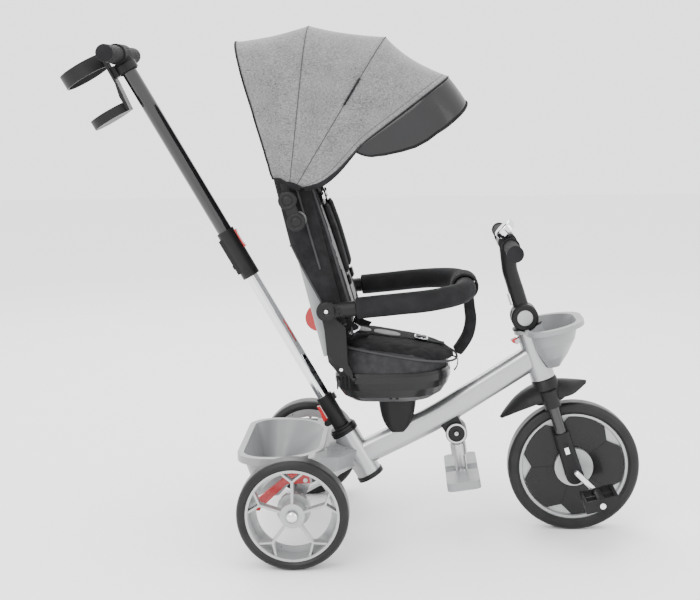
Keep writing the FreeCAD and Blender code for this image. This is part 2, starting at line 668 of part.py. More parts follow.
def front_wheel_windows():
    """The five openings between the football panels and the rim."""
    x, z = WHEEL_CENTRE
    outer = RIM_R - 6.0
    spread = math.radians(15.5)
    cutter = plate([(x + 81.0, z), (x + outer * math.cos(spread), z + outer * math.sin(spread)),
                    (x + outer + 6, z),
                    (x + outer * math.cos(spread), z - outer * math.sin(spread))], -40, 40)
    return around(cutter, x, z, 5, WINDOW_FIRST)


def front_rim():
    """Rim ring, web and hub discs, with a bore that the crank turns in."""
    x, z = WHEEL_CENTRE
    profile = [(CRANK_R + RUN_FIT, -22), (HUB_DISC_R, -22), (HUB_DISC_R, -PANEL_Y0),
               (RIM_R - 7, -PANEL_Y0), (RIM_R - 5, -RIM_HALF_W), (RIM_R, -RIM_HALF_W)]
    profile += [(radius, -side) for radius, side in reversed(profile)]
    return turned(profile, x, z)


def front_wheel_disc():
    """Football panels on both faces of the web: two rings with windows and grooves."""
    x, z = WHEEL_CENTRE
    solids = []
    for side in (-1, 1):
        low, high = sorted((side * PANEL_Y0, side * PANEL_Y1))
        cover = ring_y(RIM_R - 7.5, HUB_DISC_R, x, z, low, high)
        for cutter in front_wheel_windows():
            cover = cover.cut(cutter)
        face = side * PANEL_Y1
        groove = box(x + HUB_DISC_R - 1, x + 84, min(face, face - side), max(face, face - side),
                     z - 0.8, z + 0.8)
        for cutter in around(groove, x, z, 5, WINDOW_FIRST):
            cover = cover.cut(cutter)
        solids.append(cover)
    return Part.makeCompound(solids)


def crank_point(side):
    """The pedal's axis on one side, in the wheel's plane."""
    angle = math.radians(CRANK_ANGLE)
    sign = 1 if side < 0 else -1
    return (WHEEL_CENTRE[0] + sign * CRANK_LEN * math.cos(angle),
            WHEEL_CENTRE[1] + sign * CRANK_LEN * math.sin(angle))


def pedal_crank():
    """One bent rod: axle, two arms and two pedal spindles."""
    x, z = WHEEL_CENTRE
    right, left = crank_point(-1), crank_point(1)
    outer = PEDAL_Y + 48.0
    points = [V(right[0], -outer, right[1]), V(right[0], -CRANK_ARM_Y - 10, right[1]),
              V(x, -CRANK_ARM_Y + 8, z), V(x, CRANK_ARM_Y - 8, z),
              V(left[0], CRANK_ARM_Y + 10, left[1]), V(left[0], outer, left[1])]
    return round_bar(points, CRANK_R, 8.0)


def pedal(side):
    x, z = crank_point(side)
    y0 = side * PEDAL_Y
    inner, outer = sorted((y0 - side * 34.0, y0 + side * 40.0))
    barrel = ring_y(10.0, CRANK_R + RUN_FIT, x, z, inner, outer)
    frame_out = box(x - 32, x + 32, inner, outer, z - 11, z + 11)
    frame_in = box(x - 26, x + 26, inner + 5, outer - 5, z - 12, z + 12)
    rib = box(x - 30, x + 30, (inner + outer) / 2 - 2, (inner + outer) / 2 + 2, z - 8, z + 8)
    body = fused(frame_out.cut(frame_in), rib, barrel)
    body = body.cut(cyl_y(CRANK_R + RUN_FIT, x, z, inner - 1, outer + 1))
    body.rotate(V(x, 0, z), V(0, 1, 0), -14.0)
    return body


# ---------------------------------------------------------------- handlebar
def stem_lower():
    """Two cheeks around the tongue, joined above it into a round socket."""
    z = STEM_PIVOT_HEIGHT
    ball = cyl_y(STEM_BALL_R, 0, z, -STEM_HALF_W, STEM_HALF_W)
    ball = ball.makeChamfer(3.0, [edge for edge in ball.Edges if edge.Length > 100
                                  and edge.Closed])
    post = cyl_z(STEM_R, z, STEM_SEAM)
    shape = fused(ball, post)
    slot = cyl_y(STEM_BALL_R + 8.0, 0, z, -TONGUE_HALF - GAP, TONGUE_HALF + GAP)
    slot = slot.cut(box(-40, 40, -20, 20, z + 17.0, z + 60))
    shape = shape.cut(slot)
    shape = shape.cut(cyl_y(6.0 + RUN_FIT, 0, z, -13.0 - GAP, 13.0 + GAP))
    shape = shape.cut(cyl_y(15.0 + RUN_FIT, 0, z, -STEM_HALF_W - 1, -15.0))
    shape = shape.cut(cyl_z(STEM_POST_R + RUN_FIT, STEM_SEAM - 34.0, STEM_SEAM + 1))
    pocket = box(-20, -STEM_R + 3.4, -6.2, 6.2, HEIGHT_BUTTON_Z - 11, HEIGHT_BUTTON_Z + 11)
    return placed(shape.cut(pocket), STEER)


STEM_POST_R = 10.0
HEIGHT_BUTTON_Z = 349.0


def stem_button():
    """The silver cap that releases the stem's tilt; it is pressed inwards."""
    z = STEM_PIVOT_HEIGHT
    cap = cyl_y(15.0, 0, z, -STEM_HALF_W - 2.5, -STEM_HALF_W + 3.0)
    cap = cap.makeFillet(1.5, [edge for edge in cap.Edges if edge.Closed
                               and edge.BoundBox.YMax < -STEM_HALF_W])
    return placed(cap, STEER)


def height_button():
    """The silver button on the back of the stem."""
    body = box(-STEM_R - 4.0, -STEM_R - 0.4, -6.0, 6.0, HEIGHT_BUTTON_Z - 10.8,
               HEIGHT_BUTTON_Z + 10.8)
    body = body.makeFillet(2.5, [edge for edge in body.Edges if edge.BoundBox.XLength > 3])
    return placed(body, STEER)


def stem_upper():
    """Curved post with the clamp that holds the handlebar."""
    x, z = BAR_CENTRE
    seam = STEER.multVec(V(0, 0, STEM_SEAM + 0.2))
    along = STEER.multVec(V(0, 0, STEM_SEAM + 30)) - seam
    bend = seam + along.normalize() * 34.0
    points = [seam, bend, V(x, 0, z - 6)]
    post = round_bar(points, STEM_R - 0.3, 70.0)
    clamp = cyl_y(18.0, x, z, -27.0, 27.0)
    spigot = placed(cyl_z(STEM_POST_R, STEM_SEAM - 33.0, STEM_SEAM + 3), STEER)
    shape = fused(post, clamp, spigot)
    return shape.cut(cyl_y(HANDLEBAR_R, x, z, -40, 40))


def handlebar():
    x, z = BAR_CENTRE
    return cyl_y(HANDLEBAR_R, x, z, -HANDLEBAR_HALF + 3, HANDLEBAR_HALF - 3)


def grips():
    x, z = BAR_CENTRE
    solids = []
    for side in (-1, 1):
        end = side * HANDLEBAR_HALF
        inner = side * (HANDLEBAR_HALF - GRIP_LEN)
        low, high = sorted((inner, end))
        body = cyl_y(GRIP_R, x, z, low, high)
        cap = cyl_y(GRIP_FLANGE_R, x, z, *sorted((end, end - side * 8.0)))
        flange = cyl_y(GRIP_FLANGE_R + 2.0, x, z, *sorted((inner, inner + side * 4.0)))
        grip = fused(body, cap, flange)
        grip = grip.cut(cyl_y(HANDLEBAR_R, x, z, *sorted((inner - side, end - side * 3.0))))
        solids.append(grip)
    return Part.makeCompound(solids)


BELL_Y = -66.0
BELL_TILT = 46.0


def bell():
    """Clamp, base and chrome dome, tilted towards the rider."""
    x, z = BAR_CENTRE
    clamp = ring_y(HANDLEBAR_R + 4.0, HANDLEBAR_R, x, z, BELL_Y - 7, BELL_Y + 7)
    neck = box(-6, 6, BELL_Y - 7, BELL_Y + 7, HANDLEBAR_R + 2.0, 24.0)
    neck.rotate(V(0, 0, 0), V(0, 1, 0), -16.0)
    neck.translate(V(x, 0, z))
    dome = cyl(BELL_R, (0, 0, -BELL_T / 2), (0, 0, 1), BELL_T)
    rim = [edge for edge in dome.Edges if edge.Closed and edge.BoundBox.ZMin > 0]
    dome = dome.makeFillet(5.0, rim)
    base = cyl(BELL_R - 3.0, (0, 0, -BELL_T / 2 - 4.0), (0, 0, 1), 4.0)
    head = fused(dome, base)
    head.rotate(V(0, 0, 0), V(0, 1, 0), -BELL_TILT)
    head.translate(V(x - 10.0, BELL_Y, z + 32.0))
    shape = fused(clamp, neck, head)
    return shape.cut(cyl_y(HANDLEBAR_R, x, z, BELL_Y - 30, BELL_Y + 30))


# ---------------------------------------------------------------- rear wheels and brakes
REAR_RIM_R = 85.0
REAR_RIM_INNER = 80.5
REAR_HUB_R = 22.5
DRUM_R = 31.0
DRUM_NOTCHES = 10


def rear_wheel(side):
    """Rim, five forked spokes, hub and the notched brake drum."""
    x, z = 0.0, REAR_WHEEL_R
    centre = side * REAR_WHEEL_Y
    outer = centre + side * (REAR_TYRE_W / 2 - 3.0)
    inner = centre - side * (REAR_TYRE_W / 2 - 3.0)
    low, high = sorted((outer, inner))
    rim = ring_y(REAR_RIM_R, REAR_RIM_INNER, x, z, low, high)
    flange = ring_y(REAR_RIM_INNER + 1, 69.0, x, z, *sorted((inner, inner + side * 4.0)))
    hub = cyl_y(REAR_HUB_R, x, z, *sorted((outer - side * 1.0, inner)))
    drum = cyl_y(DRUM_R, x, z, *sorted((inner + side * 6.0, inner - side * 9.0)))
    notch = box(x + DRUM_R - 4, x + DRUM_R + 2, *sorted((inner - side * 10.0, inner)),
                z - 3.2, z + 3.2)
    for cutter in around(notch, x, z, DRUM_NOTCHES):
        drum = drum.cut(cutter)
    depth = sorted((outer - side * 2.5, outer - side * 20.0))
    blade = box(x + REAR_HUB_R - 3, x + 64, *depth, z - 2.2, z + 2.2)
    branches = []
    for direction in (-1, 1):
        branch = box(0, 27.5, *depth, -1.8, 1.8)
        branch.rotate(V(0, 0, 0), V(0, 1, 0), direction * 50.0)
        branch.translate(V(x + 62.0, 0, z))
        branches.append(branch)
    spoke = fused(blade, *branches)
    spoke = spoke.common(cyl_y(REAR_RIM_R - 2, x, z, -400, 400))
    wheel = fused(rim, flange, hub, drum, *around(spoke, x, z, 5, 90.0))
    bore_end = outer - side * 3.0
    wheel = wheel.cut(cyl_y(AXLE_R + RUN_FIT, x, z, *sorted((bore_end, inner - side * 20.0))))
    cap_seat = cyl_y(11.0, x, z, *sorted((outer - side * 2.0, outer + side * 3.0)))
    return wheel.cut(cap_seat)


def brake_pedal(side):
    """Arm over the drum, pad behind it and the pivot on the bracket's pin."""
    px, pz = BRAKE_PIVOT
    y0, y1 = sorted((side * 171.8, side * 183.0))
    arm = plate([(px + 9, pz - 6), (px + 6, pz + 10), (-12, pz + 9), (-78, 108), (-88, 97),
                 (-66, 93), (-14, pz - 7)], y0, y1)
    pad_y = sorted((side * 150.0, side * 184.0))
    pad = box(-92, -64, *pad_y, 92, 99)
    pad = pad.makeFillet(2.0, [edge for edge in pad.Edges if edge.BoundBox.YLength > 20])
    shape = fused(arm, pad)
    return shape.cut(cyl_y(BRAKE_PIN_R + RUN_FIT, px, pz, y0 - 1, y1 + 1))


# ---------------------------------------------------------------- seat
def seat_outline(z, inset):
    return rounded_rect(SEAT_REAR + inset, SEAT_FRONT - inset, SEAT_HALF_W - inset, z,
                        SEAT_REAR_CORNER_R - inset * 0.5, max(98.0 - inset, 24.0))


def swivel_room(z0, z1):
    """The space about the swivel axis that stays clear of the push bar behind the seat."""
    lean = math.radians(PUSH_ANGLE)
    bar_front = UPPER_TUBE_R / math.cos(lean) + SWIVEL_CLEARANCE
    radii = [SWIVEL_X - SOCKET_TOP[0] + (z - SOCKET_TOP[1]) * math.tan(lean) - bar_front
             for z in (z0, z1)]
    return Part.makeCone(radii[0], radii[1], z1 - z0, V(SWIVEL_X, 0, z0), V(0, 0, 1))


def seat_base():
    """Open bowl with a swivel pin underneath and a boss under each post."""
    levels = ((0, 44), (3, 33), (14, 16), (30, 5), (44, 0), (56, 0), (SEAT_RIM - SEAT_LOW, 4))
    outside = Part.makeLoft([seat_outline(SEAT_LOW + up, inset) for up, inset in levels],
                            True, True)
    inside = Part.makeLoft([seat_outline(SEAT_LOW + SEAT_WALL + 14, 30),
                            seat_outline(SEAT_LOW + 34, 7 + SEAT_WALL),
                            seat_outline(SEAT_RIM + 1, SEAT_WALL + 3)], True, True)
    pin = cyl_z(SWIVEL_PIN_R, PEDESTAL_TOP - 30.0, SEAT_LOW + 2, SWIVEL_X)
    boss = cyl_z(34.0, PEDESTAL_TOP + GAP, SEAT_LOW + 2, SWIVEL_X)
    ears = []
    for side in (-1, 1):
        y0, y1 = sorted((side * (POST_INNER - 12.0), side * (POST_INNER + POST_T)))
        ears.append(plate([(74, POST_FOOT), (76, 320), (92, 306), (104, 306), (112, POST_FOOT)],
                          y0, y1).common(swivel_room(250.0, 500.0)))
    shell = fused(outside, *ears).cut(inside)
    holes = [cyl(3.0, (SWIVEL_X + dx, -SEAT_HALF_W - 5, SEAT_LOW + 12), (0, 1, 0), 30)
             for dx in (-12.0, 0.0)]
    return fused(shell.cut(Part.makeCompound(holes)), boss, pin)


def seat_pad():
    """Cushion that fills the bowl and stands above its rim."""
    inset = SEAT_WALL + GAP
    low = SEAT_LOW + SEAT_WALL + 15
    wires = [seat_outline(low, 31), seat_outline(SEAT_LOW + 36, 8 + inset),
             seat_outline(SEAT_RIM, inset + 1), seat_outline(SEAT_PAD_TOP - 22, inset + 3),
             seat_outline(SEAT_PAD_TOP - 5, inset + 14)]
    body = Part.makeLoft(wires, True, True)
    body = body.cut(on_cushion(box(-60, SEAT_FRONT, -200, 200, 0, 120))).cut(seat_base())
    return max(body.Solids, key=lambda solid: solid.Volume)


def on_cushion(shape):
    """Lays a shape on the cushion's sloping top; its X = 0 is the cushion's rear edge."""
    shape.rotate(V(0, 0, 0), V(0, 1, 0), SEAT_PAD_SLOPE)
    shape.translate(V(SEAT_REAR, 0, SEAT_PAD_TOP))
    return shape


def armrest_posts():
    """Posts at both sides of the backrest: they carry its pins and the safety bar."""
    solids = []
    px, pz = SAFETY_PIVOT
    for side in (-1, 1):
        y0, y1 = sorted((side * POST_INNER, side * (POST_INNER + POST_T)))
        outline = [(62, 356), (66, POST_FOOT), (108, POST_FOOT), (106, 342), (98, 358),
                   (95, 424), (78, 440), (72, pz), (px - 12, pz), (56, 420)]
        post = fused(plate(outline, y0, y1), cyl_y(16.5, px, pz, y0, y1))
        pin_y = sorted((side * (BACK_HALF_W - 5.0), side * (POST_INNER + 2)))
        pivot_y = sorted((side * (POST_INNER + 2), side * (POST_INNER + POST_T + 9)))
        post = fused(post, cyl_y(BACK_PIN_R, *BACK_PIVOT, *pin_y),
                     cyl_y(SAFETY_PIN_R, px, pz, *pivot_y))
        solids.append(post.common(swivel_room(250.0, 500.0)))
    return Part.makeCompound(solids)


POST_INNER = SEAT_HALF_W
POST_FOOT = 330.0
SAFETY_PIN_R = 4.0


def crotch_strap():
    """The belt on the cushion with its buckle, lying in the middle of the seat."""
    belt = box(30, 186, -19, 19, 0.8, 4.0)
    buckle = box(134, 168, -25, 25, 2.5, 12.0)
    buckle = buckle.makeFillet(3.0, [edge for edge in buckle.Edges if edge.BoundBox.ZLength > 5])
    return on_cushion(fused(belt, buckle))


# ---------------------------------------------------------------- backrest (in its own frame)
def back_shell():
    half = BACK_HALF_W
    shell_out = rounded_box_wire(-21, 26, -half, half, -8.0, 9)
    shell = Part.Face(shell_out).extrude(V(0, 0, BACK_SHELL_LEN + 8))
    hollow = Part.Face(rounded_box_wire(-16.5, 60, -half + 4.5, half - 4.5, -10.0, 5))
    shell = shell.cut(hollow.extrude(V(0, 0, BACK_SHELL_LEN + 20)))
    parts = [shell]
    for side in (-1, 1):
        parts.append(cyl_y(9.0, 0, 0, *sorted((side * (half - 4.5), side * half))))
        stub = sorted((side * (half - 2), side * (LINK_INNER - GAP)))
        parts.append(cyl_y(16.0, 0, CANOPY_LOW_V, *stub))
    knob_seat = cyl(9.0, (-24, 0, KNOB_V), (1, 0, 0), 6)
    shape = fused(*parts, knob_seat)
    shape = shape.cut(cyl_y(BACK_PIN_R + RUN_FIT, 0, 0, -half - 1, half + 1))
    shape = shape.cut(cyl(5.0 + RUN_FIT, (-40, 0, KNOB_V), (1, 0, 0), 30))
    stub_bore = cyl_y(CANOPY_PIN_R + RUN_FIT, 0, CANOPY_LOW_V, -LINK_INNER, -half - 6)
    return placed(shape.cut(stub_bore).cut(mirrored(stub_bore)), BACK)


KNOB_V = 48.0


def backrest_pad():
    """Cushion in front of the shell, with the cover that wraps round its upper part."""
    half = BACK_HALF_W
    cushion = Part.makeLoft([rounded_box_wire(-16.2, 38, -half + 5, half - 5, 18.0, 14),
                             rounded_box_wire(-16.2, 50, -half + 5, half - 5, 60.0, 16),
                             rounded_box_wire(-16.2, 44, -half + 5, half - 5, 215.0, 16),
                             rounded_box_wire(-16.2, 36, -half + 5, half - 5, 310.0, 16)],
                            True, True)
    wrap = Part.makeLoft([rounded_box_wire(-25, 44, -half - 5.5, half + 5.5, 150.0, 14),
                          rounded_box_wire(-27, 42, -half - 5.5, half + 5.5, 220.0, 16),
                          rounded_box_wire(-24, 36, -half - 4, half + 4, BACK_PAD_LEN, 14)],
                         True, True)
    shape = fused(cushion, wrap)
    shell = placed(back_shell(), BACK.inverse())
    shape = shape.cut(shell)
    for side in (-1, 1):
        stub = sorted((side * (half - 2), side * 200.0))
        shape = shape.cut(cyl_y(16.0, 0, CANOPY_LOW_V, *stub))
    return placed(max(shape.Solids, key=lambda solid: solid.Volume), BACK)


def recline_knob():
    """Half-round red knob on the back; its shank turns in the shell."""
    outline = Part.makeCylinder(26.0, 24.0, V(-22, -12, KNOB_V), V(0, 1, 0))
    outline = outline.common(box(-70, -24.5, -12, 12, KNOB_V - 40, KNOB_V + 40))
    shank = cyl(5.0, (-25, 0, KNOB_V), (1, 0, 0), 7.0)
    return placed(fused(outline, shank), BACK)


def harness_straps():
    """Two shoulder straps with pads, down the front of the cushion."""
    solids = []
    for side in (-1, 1):
        y0, y1 = sorted((side * 34.0, side * 72.0))
        strap = plate([(52, 60), (47, 215), (39, 322), (43, 322), (52, 216), (57, 60)], y0, y1)
        solids.append(placed(strap, BACK))
    return Part.makeCompound(solids)


# ---------------------------------------------------------------- safety bar (in its own frame)
def safety_path():
    return [V(6, -SAFETY_HALF - SAFETY_SHIFT, 0), V(SAFETY_REACH, -SAFETY_HALF - SAFETY_SHIFT, 0),
            V(SAFETY_REACH, SAFETY_HALF + SAFETY_SHIFT, 0), V(6, SAFETY_HALF + SAFETY_SHIFT, 0)]


SAFETY_SHIFT = 6.0
STRAP_T = 15.0
SOCKET_END = 54.0


def safety_bar():
    """Bent tube with the plastic end sleeves that turn on the posts' pins."""
    path = safety_path()
    tube_points = [V(20, path[0].y, 0), path[1], path[2], V(20, path[3].y, 0)]
    parts = [round_bar(tube_points, SAFETY_TUBE_R, SAFETY_CORNER_R)]
    inner = POST_INNER + POST_T + GAP
    for side in (-1, 1):
        y = side * (SAFETY_HALF + SAFETY_SHIFT)
        disc = sorted((side * inner, side * (inner + 16.0)))
        parts.append(cyl_y(18.0, 0, 0, *disc))
        parts.append(cyl(14.0, (21, y, 0), (1, 0, 0), SOCKET_END - 21))
        parts.append(box(0, 26, *disc, -12, 12))
    shape = fused(*parts)
    bore = cyl_y(SAFETY_PIN_R + RUN_FIT, 0, 0, -inner - 9.5, inner + 9.5)
    shape = shape.cut(bore)
    shape = shape.cut(box(-30, 19.5, -inner, inner, -40, 40))
    return placed(shape, SAFETY)


def bar_foam():
    path = safety_path()
    points = [V(SOCKET_END + 1, path[0].y, 0), path[1], path[2], V(SOCKET_END + 1, path[3].y, 0)]
    foam = round_bar(points, FOAM_R, SAFETY_CORNER_R)
    core = [V(SOCKET_END - 20, path[0].y, 0), path[1], path[2], V(SOCKET_END - 20, path[3].y, 0)]
    return placed(foam.cut(round_bar(core, SAFETY_TUBE_R, SAFETY_CORNER_R)), SAFETY)


def bar_strap():
    """Pad wrapped round the bar's middle and the strap that hangs to the seat."""
    wrap = ring_y(FOAM_R + 3.0, FOAM_R, SAFETY_REACH, 0, -27, 27)
    wrap = placed(wrap, SAFETY)
    top = SAFETY.multVec(V(SAFETY_REACH + 6, 0, -12))
    points = [top, V(330, 0, 425), V(324, 0, 385), V(303, 0, 352)]
    path = rounded_path(points, [0, 90, 60, 0])
    heading = (points[1] - points[0]).normalize()
    across = V(heading.z, 0, -heading.x) * (STRAP_T / 2)
    corners = [points[0] + V(0, -17, 0) + across, points[0] + V(0, 17, 0) + across,
               points[0] + V(0, 17, 0) - across, points[0] + V(0, -17, 0) - across]
    strap = swept(path, Part.makePolygon(corners + corners[:1]))
    foam = placed(ring_y(FOAM_R, 0.5, SAFETY_REACH, 0, -30, 30), SAFETY)
    return fused(wrap, strap.cut(foam))


# ---------------------------------------------------------------- canopy
def canopy_joint_disc(radius, y0, y1):
    return cyl_y(radius, CANOPY_PIN.x, CANOPY_PIN.z, y0, y1)


def canopy_links():
    """The side links, each with the two pins that it turns on."""
    solids = []
    for side in (-1, 1):
        y0, y1 = sorted((side * LINK_INNER, side * LINK_OUTER))
        low, high = CANOPY_LOW, CANOPY_PIN
        along = (high - low).normalize()
        across = V(-along.z, 0, along.x) * 10.0
        web = plate([((low + across).x, (low + across).z), ((high + across).x, (high + across).z),
                     ((high - across).x, (high - across).z), ((low - across).x, (low - across).z)],
                    y0, y1)
        link = fused(web, cyl_y(17.0, low.x, low.z, y0, y1), cyl_y(16.5, high.x, high.z, y0, y1))
        low_pin = sorted((side * (BACK_HALF_W + 8.0), side * LINK_INNER))
        high_pin = sorted((side * (CANOPY_HALF_W - FABRIC_T - 3.0), side * LINK_INNER))
        link = fused(link, cyl_y(CANOPY_PIN_R, low.x, low.z, *low_pin),
                     cyl_y(CANOPY_PIN_R, high.x, high.z, *high_pin))
        solids.append(link)
    return Part.makeCompound(solids)


def bow_wire(angle, side_r, outer_r, half_w, corner_r):
    """The closed outline of a bow in its own radial plane."""
    turn = math.radians(angle)
    out = V(math.cos(turn), 0, math.sin(turn))
    low = CANOPY_PIN + out * side_r
    high = CANOPY_PIN + out * outer_r
    corners = [low + V(0, -half_w, 0), high + V(0, -half_w, 0), high + V(0, half_w, 0),
               low + V(0, half_w, 0)]
    return rounded_path(corners, [0, corner_r, corner_r, 0], closed=True)


def canopy_panel(rear_angle, front_angle, rear_r, front_r, layer):
    """One stretched panel between two bows, with the fans that turn on the side pins."""
    half_w = CANOPY_HALF_W + layer * HUB_STEP
    outside = Part.makeLoft([bow_wire(rear_angle, CANOPY_SIDE_R, rear_r, half_w,
                                      CANOPY_CORNER_R),
                             bow_wire(front_angle, CANOPY_SIDE_R, front_r, half_w,
                                      CANOPY_CORNER_R)], True, True)
    inside = Part.makeLoft([bow_wire(angle, 5.0, radius - FABRIC_T, half_w - FABRIC_T,
                                     CANOPY_CORNER_R - FABRIC_T)
                            for angle, radius in ((rear_angle + 2.0, rear_r),
                                                  (rear_angle, rear_r),
                                                  (front_angle, front_r),
                                                  (front_angle - 2.0, front_r))], True, True)
    parts = [outside.cut(inside)]
    reach = CANOPY_SIDE_R * 1.5
    for side in (-1, 1):
        y0, y1 = sorted((side * (half_w - FABRIC_T), side * half_w))
        fan = [(CANOPY_PIN.x, CANOPY_PIN.z)]
        for angle in (rear_angle, (rear_angle + front_angle) / 2, front_angle):
            turn = math.radians(angle)
            fan.append((CANOPY_PIN.x + reach * math.cos(turn),
                        CANOPY_PIN.z + reach * math.sin(turn)))
        parts.append(plate(fan, y0, y1))
        parts.append(canopy_joint_disc(14.0, y0, y1))
    shape = fused(*parts)
    bore = cyl_y(CANOPY_PIN_R + RUN_FIT, CANOPY_PIN.x, CANOPY_PIN.z, -LINK_INNER, LINK_INNER)
    return shape.cut(bore)


def canopy_panel_rear():
    return canopy_panel(CANOPY_BOW_ANGLES[0], CANOPY_BOW_ANGLES[1], CANOPY_BOW_R[0],
                        CANOPY_BOW_R[1], 0)


def canopy_panel_middle():
    return canopy_panel(CANOPY_BOW_ANGLES[1], CANOPY_BOW_ANGLES[2], CANOPY_BOW_R[1] + HUB_STEP,
                        CANOPY_BOW_R[2], 1)


def canopy_panel_front():
    return canopy_panel(CANOPY_BOW_ANGLES[2], CANOPY_BOW_ANGLES[3], CANOPY_BOW_R[2] + HUB_STEP,
                        CANOPY_BOW_R[3], 2)


def canopy_visor():
    radius = CANOPY_BOW_R[3] + HUB_STEP + 1.5
    return canopy_panel(CANOPY_BOW_ANGLES[3], VISOR_ANGLE, radius, radius + 0.01, 3)


def panel_radius(degrees):
    """Outer radius of the flat rear panel at an angle between its two bows."""
    rear, front = CANOPY_BOW_ANGLES[:2]
    rear_r, front_r = CANOPY_BOW_R[:2]
    share = (rear_r * math.sin(math.radians(rear - degrees))
             + front_r * math.sin(math.radians(degrees - front)))
    return rear_r * front_r * math.sin(math.radians(rear - front)) / share


def canopy_base():
    """The rear bow: a flat plastic hoop inside the rear panel's back edge."""
    angle = CANOPY_BOW_ANGLES[0]
    half_w = CANOPY_HALF_W - FABRIC_T
    corner_r = CANOPY_CORNER_R - FABRIC_T
    spread, thick = 1.2, 3.0
    sections = []
    for degrees in (angle - spread * 2, angle):
        sections.append((degrees, panel_radius(degrees) - FABRIC_T - 0.4))
    hoop_out = Part.makeLoft([bow_wire(degrees, CANOPY_SIDE_R, radius, half_w, corner_r)
                              for degrees, radius in sections], True, True)
    sections = [(sections[0][0] - spread, sections[0][1])] + sections
    sections = sections + [(angle + spread, sections[-1][1])]
    hoop_in = Part.makeLoft([bow_wire(degrees, 5, radius - thick, half_w - thick,
                                      corner_r - thick) for degrees, radius in sections],
                            True, True)
    parts = [hoop_out.cut(hoop_in)]
    turn = math.radians(angle - spread)
    out = V(math.cos(turn), 0, math.sin(turn))
    side_way = V(-out.z, 0, out.x) * 8.0
    foot, head = CANOPY_PIN, CANOPY_PIN + out * (CANOPY_SIDE_R + 20)
    for side in (-1, 1):
        y0, y1 = sorted((side * (half_w - 3.0), side * half_w))
        arm = plate([((foot + side_way).x, (foot + side_way).z),
                     ((head + side_way * 0.5).x, (head + side_way * 0.5).z),
                     ((head - side_way * 0.5).x, (head - side_way * 0.5).z),
                     ((foot - side_way).x, (foot - side_way).z)], y0, y1)
        parts.append(fused(arm, canopy_joint_disc(14.0, y0, y1)))
    shape = fused(*parts)
    bore = cyl_y(CANOPY_PIN_R + RUN_FIT, CANOPY_PIN.x, CANOPY_PIN.z, -LINK_INNER, LINK_INNER)
    return shape.cut(bore)


# ---------------------------------------------------------------- push bar (in its own frame)
def push_sleeve():
    """The turning socket for the push bar, with its trigger's ears."""
    spigot = SLEEVE_R + 3.0 - RUN_FIT
    body = fused(cyl_z(SLEEVE_R, COLLAR_H + GAP, SLEEVE_TOP),
                 cyl_z(spigot, -SOCKET_LEN + 14.0, COLLAR_H + GAP),
                 cyl_z(COLLAR_R - 3.0, COLLAR_H + GAP, COLLAR_H + 4.0),
                 box(8, SLEEVE_R + 5, -6, 6, SLEEVE_TOP - 16, SLEEVE_TOP - 4))
    for y0 in (-8.0, 5.0):
        ear = fused(cyl_y(6.0, -TRIGGER_X, TRIGGER_Z, y0, y0 + 3.0),
                    box(-TRIGGER_X, -8, y0, y0 + 3.0, TRIGGER_Z - 6, TRIGGER_Z + 6))
        body = body.fuse(ear)
    body = fused(body, cyl_y(2.5, -TRIGGER_X, TRIGGER_Z, -8, 8))
    return placed(body.cut(cyl_z(LOWER_TUBE_R + RUN_FIT, -20, SLEEVE_TOP + 1)), PUSH)


TRIGGER_X, TRIGGER_Z = 21.0, 34.0


def sleeve_trigger():
    """Red release trigger behind the sleeve."""
    lever = plate([(-TRIGGER_X - 2, TRIGGER_Z), (-SLEEVE_R - 1.0, TRIGGER_Z + 6),
                   (-SLEEVE_R - 1.0, TRIGGER_Z + 36), (-SLEEVE_R - 6, TRIGGER_Z + 38),
                   (-SLEEVE_R - 7, TRIGGER_Z + 24), (-SLEEVE_R - 10, TRIGGER_Z + 8)], -4.5, 4.5)
    lever = fused(lever, cyl_y(5.2, -TRIGGER_X, TRIGGER_Z, -4.5, 4.5))
    lever = lever.cut(cyl_y(2.5 + RUN_FIT, -TRIGGER_X, TRIGGER_Z, -5, 5))
    return placed(lever.cut(cyl_z(SLEEVE_R + GAP, 0, SLEEVE_TOP + 20)), PUSH)


def push_tube_lower():
    body = cyl_z(LOWER_TUBE_R, -19.0, LOWER_TUBE_TOP)
    return placed(body.cut(cyl_z(LOWER_TUBE_R - 1.5, -20, LOWER_TUBE_TOP + 1)), PUSH)


def push_tube_upper():
    low = CONNECTOR_LOW + 16.0
    body = cyl_z(UPPER_TUBE_R, low, HANDLE_HEIGHT - HANDLE_HUB_R)
    body = body.cut(cyl_z(LOWER_TUBE_R + RUN_FIT, low - 1, HANDLE_HEIGHT - HANDLE_HUB_R - 4))
    return placed(body, PUSH)


def push_connector():
    """Clamp housing at the bottom of the upper tube, with its cover and rivet."""
    low, high = CONNECTOR_LOW, CONNECTOR_HIGH
    body = fused(cyl_z(CONNECTOR_R, low, high),
                 box(-CONNECTOR_R - 2, 2, -13, 13, low + 14, high - 12),
                 cyl_y(5.0, -3, low + 14, -CONNECTOR_R - 2, CONNECTOR_R + 2),
                 box(-CONNECTOR_R - 5, -10, -5, 5, low + 26, low + 34))
    body = body.cut(cyl_z(UPPER_TUBE_R, low + 16, high + 1))
    body = body.cut(cyl_z(LOWER_TUBE_R + RUN_FIT, low - 1, low + 17))
    pocket = box(CONNECTOR_R - 2.5, CONNECTOR_R + 3, -6.2, 6.2, CONN_BUTTON_Z - 20,
                 CONN_BUTTON_Z + 20)
    return placed(body.cut(pocket), PUSH)


CONN_BUTTON_Z = 432.0


def connector_button():
    """Red saddle-shaped button on the front of the connector."""
    x0, x1 = CONNECTOR_R - 0.2, CONNECTOR_R + 4.0
    outline = [(x0, CONN_BUTTON_Z - 19), (x1, CONN_BUTTON_Z - 19),
               (x0 + 2.2, CONN_BUTTON_Z - 9), (x0 + 2.2, CONN_BUTTON_Z + 9),
               (x1, CONN_BUTTON_Z + 19), (x0, CONN_BUTTON_Z + 19)]
    return placed(plate(outline, -6, 6), PUSH)


